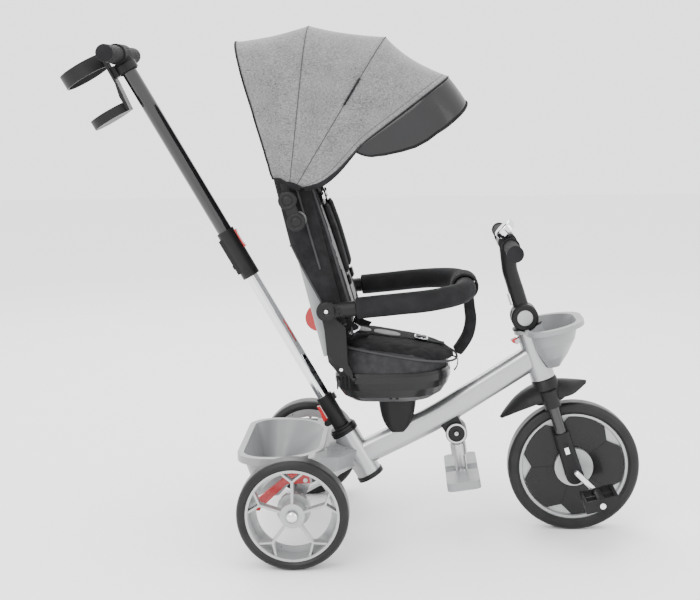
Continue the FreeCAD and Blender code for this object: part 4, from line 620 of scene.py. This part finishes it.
def canopy_line(angle_of, lift):
    """Points along the cloth from one hem over the top to the other, at an edge."""
    points = []
    for kind, share, side in PATH:
        angle, r, y = settle(angle_of, (kind, share, side))
        turn = math.radians(angle)
        if kind == "side":
            out = Vector((0, side, 0))
        elif kind == "corner":
            a = share * math.pi / 2
            out = Vector((math.cos(turn) * math.sin(a), side * math.cos(a),
                          math.sin(turn) * math.sin(a)))
        else:
            out = Vector((math.cos(turn), 0, math.sin(turn)))
        points.append(polar(r, y, angle) + out * lift / 1000)
    return points


def build_canopy():
    canopy_panel("canopy_cloth_rear", "canopy_panel_rear", "canopy_rear",
                 table_of(REAR_EDGE), constant(REAR_BOW), 10 * FINE)
    canopy_panel("canopy_cloth_middle", "canopy_panel_middle", "canopy_middle",
                 constant(REAR_BOW), constant(MIDDLE_BOW), 10 * FINE)
    canopy_panel("canopy_cloth_front", "canopy_panel_front", "canopy_front",
                 constant(MIDDLE_BOW), table_of(FRONT_EDGE), 10 * FINE)
    for name, body, edge, r in (("seam_rear", "canopy_middle", constant(REAR_BOW), 0.75),
                                ("seam_middle", "canopy_front", constant(MIDDLE_BOW), 0.75),
                                ("binding_rear", "canopy_rear", table_of(REAR_EDGE), 1.9),
                                ("binding_front", "canopy_front", table_of(FRONT_EDGE), 0.9)):
        cord_material = M["piping"] if r < 1.5 else M["black_fabric"]
        line = tube("canopy_" + name, canopy_line(edge, -0.3), r / 1000, cord_material, 8)
        dress(line, body)
    stitch = tube("canopy_stitch_front",
                  canopy_line(lambda r: table(FRONT_EDGE, r) + 3.4 * 150 / max(r, 120), 0.0),
                  0.0004, M["piping"], 6)
    dress(stitch, "canopy_front")
    build_hem()
    build_visor()
    loop = []
    for r in (196, 205, 214, 223, 232, 241, 250):
        loop.append(polar(r, -half_width(MIDDLE_BOW) - 1.4, MIDDLE_BOW))
    tab = tube("canopy_loop_tab", loop, 0.0016, M["black_fabric"], 8)
    dress(tab, "canopy_front")


def build_hem():
    """The black band that follows the cloth's lower edge on both sides."""
    for side, hand in ((-1, "right"), (1, "left")):
        for name, body, a0, a1 in (("rear", "canopy_rear", 125.0, REAR_BOW),
                                   ("middle", "canopy_middle", REAR_BOW, MIDDLE_BOW),
                                   ("front", "canopy_front", MIDDLE_BOW, 41.0)):
            rows = []
            for i in range(13):
                angle = lerp(a0, a1, i / 12)
                low = table(HEM_R, angle)
                y = side * (half_width(angle) - 0.4)
                rows.append([polar(low + 2.5, y, angle), polar(low - 1.0, y, angle),
                             polar(low - 5.0, y - side * 0.5, angle),
                             polar(low - 8.0, y - side * 2.0, angle)])
            band = grid("hem_%s_%s" % (name, hand), rows, M["black_fabric"])
            thicken(band, 0.0026, offset=0.0)
            dress(band, body)
        rows = []
        for r in range(36, 172, 8):
            angle = table(FRONT_EDGE, r)
            y = side * (half_width(angle) - 0.6)
            depth = 8.0 * min(1.0, (172 - r) / 90)
            turn = math.degrees(depth / max(r, 36))
            rows.append([polar(r, y, angle + 0.6), polar(r, y, angle - turn * 0.5),
                         polar(r, y - side * 1.5, angle - turn)])
        band = grid("hem_edge_" + hand, rows, M["black_fabric"])
        thicken(band, 0.0022, offset=0.0)
        dress(band, "canopy_front")


def build_visor():
    """The stiff glossy peak under the front bow, with its piping."""
    path = section_path(14 * FINE, 7 * FINE, 7 * FINE)
    upper = table_of(FRONT_EDGE)
    lower = table_of(VISOR_EDGE)
    rows = []
    edge = []
    for kind, share, side in path:
        row = []
        for i in range(9):
            t = i / 8
            if kind == "side":
                angle = FRONT_BOW
                for _ in range(5):
                    radius = FRONT_BOW_R + (FRONT_BOW - angle) * 0.4 - CORNER
                    r = lerp(150.0, radius, share)
                    angle = lerp(min(upper(r), FRONT_BOW) - 0.2, min(lower(r), 36.5), t)
                y = side * (half_width(angle) - 1.2)
            else:
                angle = lerp(FRONT_BOW, PEAK_EDGE, t)
                if kind == "corner":
                    low_angle = table(VISOR_EDGE, 290.0 + 62.0 * share)
                    angle = lerp(FRONT_BOW, low_angle, t)
                radius = FRONT_BOW_R + (FRONT_BOW - angle) * 0.4
                r, y = canopy_point(angle, kind, share, side)
                r = r - bow_radius(angle)[0] + radius - 1.0
                y = y - (side * 1.2 if kind == "corner" else 0)
            row.append(polar(r, y, angle))
        rows.append(row)
        edge.append(row[-1])
    visor = grid("canopy_peak_sheet", rows, M["visor"])
    outward_side(visor)
    thicken(visor, 0.0018)
    dress(visor, "canopy_peak", ["canopy_visor"])
    rim = tube("canopy_peak_piping", edge, 0.0019, M["black_fabric"], 8)
    dress(rim, "canopy_peak")


M["piping"] = weave("dark_piping", (0.045, 0.045, 0.047), 0.8, 900.0, 0.1, 0.1, 0.2)
M["visor"] = plastic("visor_vinyl", (0.016, 0.016, 0.017), 0.34, 0.10, coat=0.12)
build_canopy()


# ---- seat and backrest
SEAT_SLOPE = math.radians(10.0)
BACK_LEAN = math.radians(14.0)
BAR_SLOPE = math.radians(5.5)
FOAM_R = 20.0
BAR_REACH = 258.0


def on_seat(s, y, h):
    """A point on the cushion: s forward from its rear edge, h above its sloping top."""
    a = SEAT_SLOPE
    return at(72.0 + s * math.cos(a) + h * math.sin(a), y,
              392.0 - s * math.sin(a) + h * math.cos(a))


def on_back(u, y, v):
    """A point in the backrest's frame: u forward, v up along it."""
    a = BACK_LEAN
    return at(71.0 + u * math.cos(a) - v * math.sin(a), y,
              380.0 + u * math.sin(a) + v * math.cos(a))


def on_bar(u, y, v):
    """A point in the guard bar's frame: u forward along its arms, v above them."""
    a = BAR_SLOPE
    return at(60.8 + u * math.cos(a) - v * math.sin(a), y,
              457.2 + u * math.sin(a) + v * math.cos(a))


def oval(count, reach, half, rear_power=0.55, front_power=0.85):
    points = []
    for a in angles(count):
        c, s = math.cos(a), math.sin(a)
        power = front_power if c > 0 else rear_power
        points.append((math.copysign(abs(c) ** power, c) * reach,
                       math.copysign(abs(s) ** power, s) * half))
    return points


RIM_POINTS = 64


def lens(name, place, centre, reach, half, thick, material, drop=0.0):
    """A closed oval pad: place maps its own (s, y, h) to the model."""
    rim = oval(RIM_POINTS, reach, half)
    rows = []
    for share, h in ((0.02, 1.0), (0.35, 0.98), (0.65, 0.9), (0.85, 0.72), (0.96, 0.42), (1.0, 0.0),
                     (0.96, -0.5), (0.8, -0.8), (0.4, -0.9), (0.02, -0.9)):
        rows.append([place(centre + x * share, y * share, thick * h / 2 - drop * share ** 4)
                     for x, y in rim])
    obj = grid(name, rows, material, ring=True)
    cap_ends(obj, len(rows), RIM_POINTS)
    return obj


def press_seam(obj, lines, width, depth, inward):
    """Sews channels into a pad: points near a line move inwards."""
    for v in obj.data.vertices:
        best = min((v.co - q).length for line in lines for q in line)
        if best < width:
            v.co += inward * (depth * (1 - best / width) ** 1.5)


RIBBON_SIDES = 16


def ribbon(name, points, width, thick, material, across=Vector((0, 1, 0)), bulge=0.0):
    """A strap with rounded edges along points; across is its width direction."""
    points = [Vector(p) for p in points]
    rows = []
    for i, p in enumerate(points):
        t = (points[min(i + 1, len(points) - 1)] - points[max(i - 1, 0)]).normalized()
        out = t.cross(across).normalized()
        share = i / (len(points) - 1)
        puff = thick / 2 * (1 + bulge * math.sin(math.pi * share))
        if bulge and (i == 0 or i == len(points) - 1):
            puff = thick * 0.2
        row = []
        for a in angles(RIBBON_SIDES):
            c, s = math.cos(a), math.sin(a)
            row.append(p + across * (math.copysign(abs(c) ** 0.4, c) * width / 2)
                       + out * (math.copysign(abs(s) ** 0.7, s) * puff))
        rows.append(row)
    obj = piece(name, [v for row in rows for v in row], loft_faces(len(rows), RIBBON_SIDES),
                material)
    outward(obj)
    return obj


def smooth_line(points, steps=8):
    """Catmull-Rom points through a few given ones."""
    points = [Vector(p) for p in points]
    out = []
    for i in range(len(points) - 1):
        p0, p1 = points[max(i - 1, 0)], points[i]
        p2, p3 = points[i + 1], points[min(i + 2, len(points) - 1)]
        for k in range(steps):
            t = k / steps
            out.append(0.5 * (2 * p1 + (p2 - p0) * t + (2 * p0 - 5 * p1 + 4 * p2 - p3) * t * t
                              + (3 * p1 - p0 - 3 * p2 + p3) * t ** 3))
    out.append(points[-1])
    return out


def copy_of(node, name, material, scale):
    """A copy of a CAD node's mesh, scaled about its middle."""
    source = NODES[node]
    obj = linked(name, source.data.copy())
    obj.matrix_world = source.matrix_world.copy()
    obj.data.transform(source.matrix_world)
    obj.matrix_world = Matrix()
    centre = sum((v.co for v in obj.data.vertices), Vector()) / len(obj.data.vertices)
    for v in obj.data.vertices:
        v.co = centre + (v.co - centre) * scale
    paint(obj, material)
    return obj


def build_seat():
    """The cushion with its quilt, belt, buckle and waist straps."""
    cover = swollen(copy_of("seat_pad", "seat_cover", M["side_fabric"], 0.985), 0.003, 3.0)
    dress(cover, "seat", ["seat_pad"])
    quilt = lens("seat_quilt", on_seat, 117.0, 118.0, 112.0, 16.0, M["black_fabric"], drop=6.0)
    swollen(quilt, 0.005, 4.0)
    up = on_seat(0, 0, 1) - on_seat(0, 0, 0)
    lines = []
    for y in (-52.0, 52.0):
        lines.append([on_seat(s, y * (1 - (s / 300.0) ** 2), 9) for s in range(20, 215, 4)])
    lines.append([on_seat(150.0 + 30 * math.cos(y / 60.0), y, 9) for y in range(-80, 81, 4)])
    press_seam(quilt, lines, 0.009, 0.0028, -up)
    dress(quilt, "seat", ())
    rim = [on_seat(117.0 + x * 1.008, y * 1.008, -6.2) for x, y in oval(96, 118.0, 112.0)]
    dress(tube("seat_quilt_piping", rim, 0.0022, M["piping"], 8, closed=True), "seat")
    low = [on_seat(106.0 + x * 0.88, y * 0.985, -26.0) for x, y in oval(96, 112.0, 112.0)]
    dress(tube("seat_cover_piping", low, 0.0016, M["light_piping"], 8, closed=True), "seat")
    belt = lens("belt_pad", on_seat_belt, 78.0, 62.0, 27.0, 9.0, M["black_fabric"])
    dress(belt, "seat", ["crotch_strap"])
    for name, s, reach, half in (("rear", 42.0, 19.0, 20.0), ("front", 92.0, 26.0, 21.0)):
        patch = lens("belt_patch_" + name, on_seat_belt_top, s, reach, half, 3.2,
                     M["grey_fabric"])
        dress(patch, "seat", ())
    web = ribbon("crotch_webbing", [on_seat_belt(s, 0, 1.2) for s in range(120, 206, 6)], 0.026,
                 0.0026, M["webbing"])
    dress(web, "seat")
    frame_bars = []
    ahead = (on_seat(1, 0, 0) - on_seat(0, 0, 0)).normalized()
    turn = Matrix((ahead, Vector((0, 1, 0)), up.normalized())).transposed().to_4x4()
    for ds, dy, size in ((-11, 0, (0.004, 0.036, 0.0035)), (11, 0, (0.004, 0.036, 0.0035)),
                         (0, -16.5, (0.024, 0.0035, 0.0035)), (0, 16.5, (0.024, 0.0035, 0.0035)),
                         (0, 0, (0.003, 0.03, 0.003))):
        m = Matrix.Translation(on_seat_belt(158.0 + ds, dy, 6.0)) @ turn
        frame_bars.append(block("bar", size, m, M["chrome"], 0.0012))
    buckle = joined("belt_buckle", frame_bars)
    dress(buckle, "seat")
    core = block("buckle_core", (0.02, 0.03, 0.008),
                 Matrix.Translation(on_seat_belt(158.0, 0, 4.0)) @ turn, M["black_plastic"],
                 0.002)
    dress(core, "seat")
    tail = ribbon("strap_tail", smooth_line([on_seat(226, 0, -8), on_seat(238, 0, -12),
                                             on_seat(240, 0, -26), on_seat(236, 0, -36)]),
                  0.012, 0.0018, M["webbing"])
    dress(tail, "seat")
    for side_sign, hand in ((-1, "right"), (1, "left")):
        line = smooth_line([on_back(20, side_sign * 112, 50), on_back(46, side_sign * 108, 26),
                            on_seat(34, side_sign * 84, 12), on_seat(58, side_sign * 58, 10)])
        strap = ribbon("waist_strap_" + hand, line, 0.024, 0.0045, M["webbing"],
                       Vector((0.55, 0.35 * side_sign, 0.6)).normalized(), 0.3)
        dress(strap, "seat")
        lock = line[len(line) // 3]
        clip = block("waist_lock_" + hand, (0.016, 0.004, 0.022),
                     Matrix.Translation(lock) @ Matrix.Rotation(0.6, 4, "Y"), M["chrome"], 0.0012)
        dress(clip, "seat")


def on_seat_belt(s, y, h):
    """A point on the belt, which lies a little askew over the cushion."""
    return on_seat(s + 4, y - 14.0 + s * 0.07, h + 12.0)


def on_seat_belt_top(s, y, h):
    return on_seat_belt(s, y, h + 4.4)


def back_core():
    """The cushion in front of the shell, before it is filled."""
    tiers = ((20, 34, 104, 10), (40, 45, 110, 12), (70, 50, 112, 14), (140, 48, 112, 14),
             (215, 43, 112, 14), (280, 37, 111, 13), (318, 31, 106, 10))
    rows = []
    for v, front, half, corner in tiers:
        row = []
        for a in angles(RIM_POINTS):
            c, s = math.cos(a), math.sin(a)
            u = (front - 14.0) / 2 + math.copysign(abs(c) ** 0.5, c) * (front + 14.0) / 2
            row.append(on_back(u, math.copysign(abs(s) ** 0.28, s) * half, v))
        rows.append(row)
    obj = grid("backrest_cushion", rows, M["black_fabric"], ring=True)
    cap_ends(obj, len(rows), RIM_POINTS)
    return obj


def build_wrap():
    """The black cover that wraps round the shell, with its wavy lower edge and its top."""
    outline = []
    for k in range(9):
        a = math.pi / 2 * k / 8
        outline.append((-12.0 - 15.0 * math.sin(a), 112.5 + 15.0 * math.cos(a)))
    side = [(lerp(36.0, -12.0, k / 8), 127.5 - 9.0 * (1 - k / 8) ** 4) for k in range(8)]
    back = [(-27.0, lerp(112.5, 0.0, k / 8)) for k in range(1, 9)]
    half = side + outline + back
    loop = [(u, -y) for u, y in half] + [(u, y) for u, y in half[::-1]][1:]
    rows = []
    for i in range(25):
        t = i / 24
        row = []
        for u, y in loop:
            low = 206.0 - 165.0 * max(0.0, min(1.0, (u + 24.0) / 40.0)) ** 0.9
            v = lerp(low, 331.0, t)
            lean = 1.0 - 0.035 * max(0.0, (v - 220.0) / 110.0)
            soft = 0.6 * noise.noise(Vector((u * 0.05, y * 0.05, v * 0.03)))
            row.append(on_back(u * lean, y * lean + math.copysign(soft, y), v))
        rows.append(row)
    for shrink, v in ((0.97, 333.0), (0.85, 334.5), (0.5, 335.0), (0.03, 335.0)):
        rows.append([on_back(5 + (u - 5) * shrink * 0.96, y * shrink * 0.965, v)
                     for u, y in loop])
    wrap = grid("backrest_wrap", rows, M["black_fabric"])
    outward(wrap)
    thicken(wrap, 0.0022)
    dress(wrap, "backrest", ())
    dress(tube("backrest_wrap_hem", rows[0], 0.0018, M["piping"], 8), "backrest")


def build_backrest():
    """The filled cushion with its grey face, piping, shoulder straps and their pads."""
    build_wrap()
    pad = swollen(back_core(), 0.006, 4.0)
    pad.data.materials.append(M["grey_fabric"])
    for polygon in pad.data.polygons:
        d = (polygon.center - at(71.0, 0, 380.0)) * 1000
        u = d.x * math.cos(BACK_LEAN) + d.z * math.sin(BACK_LEAN)
        v = -d.x * math.sin(BACK_LEAN) + d.z * math.cos(BACK_LEAN)
        edge = 88.0 - 10.0 * ((v - 150.0) / 150.0) ** 2
        if polygon.normal.x > 0.2 and abs(d.y) < edge and 26 < v < 262 and u > 20:
            polygon.material_index = 1
    dress(pad, "backrest", ["backrest_pad"])
    for side, hand in ((-1, "right"), (1, "left")):
        for name, u_of, y, v0, v1, radius in (
                ("front", ((18, 40), (60, 50), (215, 45), (312, 37)), 112.0, 20, 312, 0.0022),
                ("side", ((150, 16), (220, 14), (325, 12)), 127.6, 152, 322, 0.0018)):
            line = [on_back(table(u_of, v), side * y, v) for v in range(v0, v1, 8)]
            dress(tube("back_piping_%s_%s" % (name, hand), line, radius, M["piping"], 8),
                  "backrest")
        front = ((0, 40), (60, 54), (215, 48), (312, 40))
        points = [on_back(table(front, v) + 2.0, side * (50 + (v - 60) * 0.02), v)
                  for v in range(46, 318, 8)]
        web = ribbon("shoulder_webbing_" + hand, points, 0.026, 0.0026, M["webbing"])
        dress(web, "backrest", ["harness_straps"] if side < 0 else ())
        points = [on_back(table(front, v) + 7.0, side * (50 + (v - 60) * 0.02), v)
                  for v in range(128, 262, 7)]
        cover = ribbon("shoulder_pad_" + hand, points, 0.042, 0.009, M["black_fabric"], bulge=0.25)
        dress(cover, "backrest", ())
        for v in (112, 276):
            p = on_back(table(front, v) + 6.0, side * 51, v)
            m = Matrix.Translation(p) @ Matrix.Rotation(-BACK_LEAN, 4, "Y")
            lock = block("strap_lock_%s_%d" % (hand, v), (0.005, 0.032, 0.018), m,
                         M["black_plastic"] if v == 112 else M["chrome"], 0.0015)
            dress(lock, "backrest")


def bar_line(low, count):
    """Centre line of the foam: two arms and the rounded front, from end to end."""
    reach, y, corner = BAR_REACH, 147.0, 95.0
    points = [(lerp(low, reach - corner, i / count), -y) for i in range(count)]
    for i in range(2 * count + 1):
        a = -math.pi / 2 + math.pi / 2 * i / (2 * count)
        points.append((reach - corner + corner * math.cos(a), -y + corner + corner * math.sin(a)))
    for i in range(1, count):
        points.append((reach, lerp(-y + corner, y - corner, i / count)))
    for i in range(2 * count + 1):
        a = math.pi / 2 * i / (2 * count)
        points.append((reach - corner + corner * math.cos(a), y - corner + corner * math.sin(a)))
    points += [(lerp(reach - corner, low, i / count), y) for i in range(1, count + 1)]
    return points


def build_guard():
    """The foam on the guard bar, with its middle wrap and the strap down to the seat."""
    line = bar_line(55.0, 14)
    rows = []
    last = len(line) - 1
    ends = ((10.0, 0.0), (17.0, 0.0), (19.2, 1.2), (FOAM_R, 3.2))
    for i, (u, y) in enumerate(line):
        ahead = Vector((*line[min(i + 1, last)], 0)) - Vector((*line[max(i - 1, 0)], 0))
        ahead.normalize()
        side = Vector((-ahead.y, ahead.x, 0))
        stations = [(FOAM_R, 0.0)]
        if i == 0:
            stations = ends
        if i == last:
            stations = [(radius, -step) for radius, step in ends[::-1]]
        for radius, step in stations:
            row = []
            for a in angles(28):
                lump = 0.35 * noise.noise(Vector((u * 0.03, y * 0.03, a)))
                r = radius + (lump if radius > 19 else 0)
                p = Vector((u, y, 0)) + ahead * step + side * (math.cos(a) * r)
                row.append(on_bar(p.x, p.y, math.sin(a) * r))
            rows.append(row)
    foam = grid("guard_foam", rows, M["foam"], ring=True)
    dress(foam, "guard_bar", ["bar_foam"])
    outward(foam)
    rows = []
    for y in (-29, -28, -24, -12, 0, 12, 24, 28, 29):
        radius = 21.2 if abs(y) == 29 else 22.6 if abs(y) == 28 else 23.4
        row = []
        for a in angles(32):
            row.append(on_bar(BAR_REACH + math.cos(a) * radius, y, math.sin(a) * radius))
        rows.append(row)
    wrap = grid("guard_wrap", rows, M["black_fabric"], ring=True)
    thicken(wrap, 0.003)
    dress(wrap, "guard_bar", ["bar_strap"])
    top = on_bar(264.0, 0, -10.0)
    line = smooth_line([top, at(327.5, 0, 440), at(330.0, 0, 415), at(325.0, 0, 388),
                        at(313.0, 0, 366), at(303.0, 0, 353)], 6)
    strap = ribbon("guard_strap", line, 0.036, 0.020, M["black_fabric"], bulge=0.12)
    dress(strap, "guard_bar", ())


M["side_fabric"] = weave("side_fabric", (0.028, 0.028, 0.030), 0.75, 520.0, 0.25, 0.15, 0.25)
M["light_piping"] = weave("light_piping", (0.12, 0.12, 0.125), 0.7, 900.0, 0.1, 0.1, 0.2)
M["webbing"] = weave("strap_webbing", (0.010, 0.010, 0.011), 0.7, 260.0, 0.2, 0.1, 0.6)
build_seat()
build_backrest()
build_guard()


# ---- small hardware
def trim(obj, body):
    """Turns a closed piece's faces outwards and dresses it."""
    outward(obj)
    return dress(obj, body)


SOCKET_SHARE = 0.55                # of a screw head's radius


def screw(name, centre, axis, radius, material, body):
    """A domed screw head with a socket."""
    socket = radius * SOCKET_SHARE
    return trim(spun(name, ((radius, 0), (radius, 0.5), (radius * 0.92, 1.1), (socket, 1.5),
                            (socket * 0.9, 0.9), (0.001, 0.8)), centre, axis, material, 24),
                body)


def hub_disc(name, centre, axis, radius, body, material):
    """The stepped face of a joint's disc: rim, groove and inner button."""
    return trim(spun(name, ((radius, -1.5), (radius, 0.6), (radius - 1.2, 1.6),
                            (radius * 0.66, 1.6), (radius * 0.62, 0.3), (radius * 0.52, 0.3),
                            (radius * 0.48, 1.9), (radius * 0.2, 2.2), (0.001, 2.2)),
                     centre, axis, material, 48), body)


def link_side(side):
    """Outer face of the canopy's side link."""
    return side * (150.5 + 3 * 3.3 + 0.8 + 11.0) / 1000


def build_joint_discs():
    low = Vector(JOINTS["canopy_arm_tilt"]["pos_m"])
    for side, hand in ((-1, "right"), (1, "left")):
        out = (0, side, 0)
        for name, centre in (("low", low), ("high", PIN)):
            p = Vector((centre.x, link_side(side), centre.z))
            hub_disc("link_disc_%s_%s" % (name, hand), p, out, 16.0, "canopy_arm",
                     M["black_plastic"])
        pivot = Vector(JOINTS["guard_bar_lift"]["pos_m"])
        y = side * (124.0 + 13.0 + 0.6 + 16.0) / 1000
        p = Vector((pivot.x, y, pivot.z))
        trim(spun("bar_disc_" + hand, ((17.0, -1.0), (17.0, 0.4), (15.6, 1.4), (6.0, 1.8),
                                       (5.6, 1.0), (0.001, 1.0)), p, out, M["black_plastic"], 48),
             "guard_bar")
        trim(spun("bar_rivet_" + hand, ((4.0, 0.6), (4.0, 1.8), (3.2, 2.9), (0.001, 3.4)), p, out,
                  M["chrome"], 24), "guard_bar")
        mark = tube("bar_sleeve_mark_" + hand,
                    [on_bar(24.0 + 2.6 * math.cos(a), side * 161.2, 7.5 * math.sin(a))
                     for a in angles(28)], 0.0009,
                    M["gloss_black_plastic"], 6, closed=True)
        trim(mark, "guard_bar")
        screw("post_rivet_" + hand, at(86.0, side * 137.0, 346.0), out, 3.4, M["chrome"], "seat")
        for k in range(4):
            rib = block("post_rib_%s_%d" % (hand, k), (0.003, 0.003, 0.026),
                        Matrix.Translation(at(79.0 + 7.0 * k, side * 137.4, 322.0)),
                        M["black_plastic"], 0.0012)
            trim(rib, "seat")


def build_footrest_disc():
    pivot = Vector(JOINTS["footrest_fold"]["pos_m"])
    for side, hand in ((-1, "right"), (1, "left")):
        p = Vector((pivot.x, side * 0.021, pivot.z))
        out = (0, side, 0)
        dress(spun("footrest_ring_" + hand, ((19.6, -0.3), (19.6, 1.3), (18.6, 1.8), (16.8, 1.8),
                                             (16.2, 1.2), (16.2, -0.3)), p, out,
                   M["white_plastic"], 56), "frame")
        trim(spun("footrest_boss_" + hand, ((15.6, -0.3), (15.6, 1.4), (14.4, 2.2), (6.0, 2.6),
                                            (5.4, 1.6), (0.001, 1.6)), p, out,
                  M["black_plastic"], 48), "frame")
        screw("footrest_screw_" + hand, p + Vector(out) * 0.0014, out, 4.2, M["steel"], "frame")


def tyre_lines(prefix, centre, side, hand, body, lines, steps):
    """Fine moulded rings on a tyre's side: radius, place across and thickness."""
    for radius, y, thick in lines:
        ring = [Vector((centre.x + math.cos(a) * radius / 1000, centre.y + side * y / 1000,
                        centre.z + math.sin(a) * radius / 1000))
                for a in angles(steps)]
        trim(tube("%s_%s_%d" % (prefix, hand, int(radius)), ring, thick, M["tyre"], 6,
                  closed=True), body)


def build_rear_wheels():
    for side, hand in ((-1, "right"), (1, "left")):
        centre = Vector(JOINTS[hand + "_wheel_spin"]["pos_m"])
        out = (0, side, 0)
        body = hand + "_wheel"
        face = centre + Vector((0, side * 0.0262, 0))
        cap = spun("hub_cap_" + hand, ((10.8, -3.0), (10.8, 1.2), (9.6, 3.0), (6.8, 5.0),
                                       (3.2, 6.2), (0.001, 6.5)), face, out, M["chrome"], 40)
        trim(cap, body)
        tyre_lines("tyre_line", centre, side, hand, body,
                   ((96.4, 21.9, 0.0007), (90.6, 23.3, 0.0007)), 96)


def build_front_wheel():
    centre = Vector(JOINTS["front_wheel_spin"]["pos_m"])
    for side, hand in ((-1, "right"), (1, "left")):
        tyre_lines("front_tyre_line", centre, side, hand, "front_wheel",
                   ((121.5, 19.4, 0.0008), (114.5, 21.4, 0.0008)), 120)


M["white_plastic"] = plastic("white_satin", (0.55, 0.55, 0.56), 0.35, 0.06, coat=0.05)
build_joint_discs()
build_footrest_disc()
build_rear_wheels()
build_front_wheel()


# ---- studio
def build_studio():
    lo, hi = CAD_BOX
    floor = bpy.data.meshes.new("studio_floor")
    floor.from_pydata([(-6, -6, 0), (6, -6, 0), (6, 8, 0), (-6, 8, 0)], [], [(0, 1, 2, 3)])
    obj = linked("studio_floor", floor)
    s = Shader("pale_floor", (0.93, 0.93, 0.93), 0.6)
    s.vary_roughness(s.noise(3.0, 2.0), 0.55, 0.65)
    paint(obj, s.material)
    obj.location.z = lo.z - 0.0005
    world = bpy.data.worlds.new("studio")
    bpy.context.scene.world = world
    world.use_nodes = True
    background = world.node_tree.nodes["Background"]
    background.inputs["Color"].default_value = (1.0, 1.0, 1.0, 1.0)
    background.inputs["Strength"].default_value = 2.3
    for name, place, size, power in (("key", (-1.2, -2.4, 2.6), 1.6, 55.0),
                                     ("fill", (2.4, -1.8, 1.5), 1.4, 22.0),
                                     ("top", (0.1, 0.2, 3.0), 1.8, 40.0),
                                     ("rim", (-0.6, 2.4, 2.0), 1.4, 26.0)):
        light = bpy.data.lights.new(name, "AREA")
        light.energy, light.size = power, size
        lamp = linked(name, light)
        lamp.location = place
        aim = Vector((0.0, 0.0, 0.45)) - Vector(place)
        lamp.rotation_euler = aim.to_track_quat("-Z", "Y").to_euler()


def build_camera():
    """The pinhole camera fitted to the photograph."""
    yaw, pitch, roll = 0.0427, 0.1593, -0.0124
    focal, photo_width, sensor_width = 1317.7, 700.0, 36.0
    forward = Vector((-math.sin(yaw) * math.cos(pitch), math.cos(yaw) * math.cos(pitch),
                      -math.sin(pitch)))
    level = Vector((math.cos(yaw), math.sin(yaw), 0))
    upright = level.cross(forward)
    right = level * math.cos(roll) + upright * math.sin(roll)
    up = upright * math.cos(roll) - level * math.sin(roll)
    camera = bpy.data.cameras.new("camera")
    camera.sensor_width = sensor_width
    camera.lens = focal / photo_width * sensor_width
    obj = linked("camera", camera)
    rotation = Matrix((right, up, -forward)).transposed().to_4x4()
    obj.matrix_world = Matrix.Translation((0.205 + SHIFT, -2.506, 0.857)) @ rotation
    bpy.context.scene.camera = obj


build_studio()
build_camera()
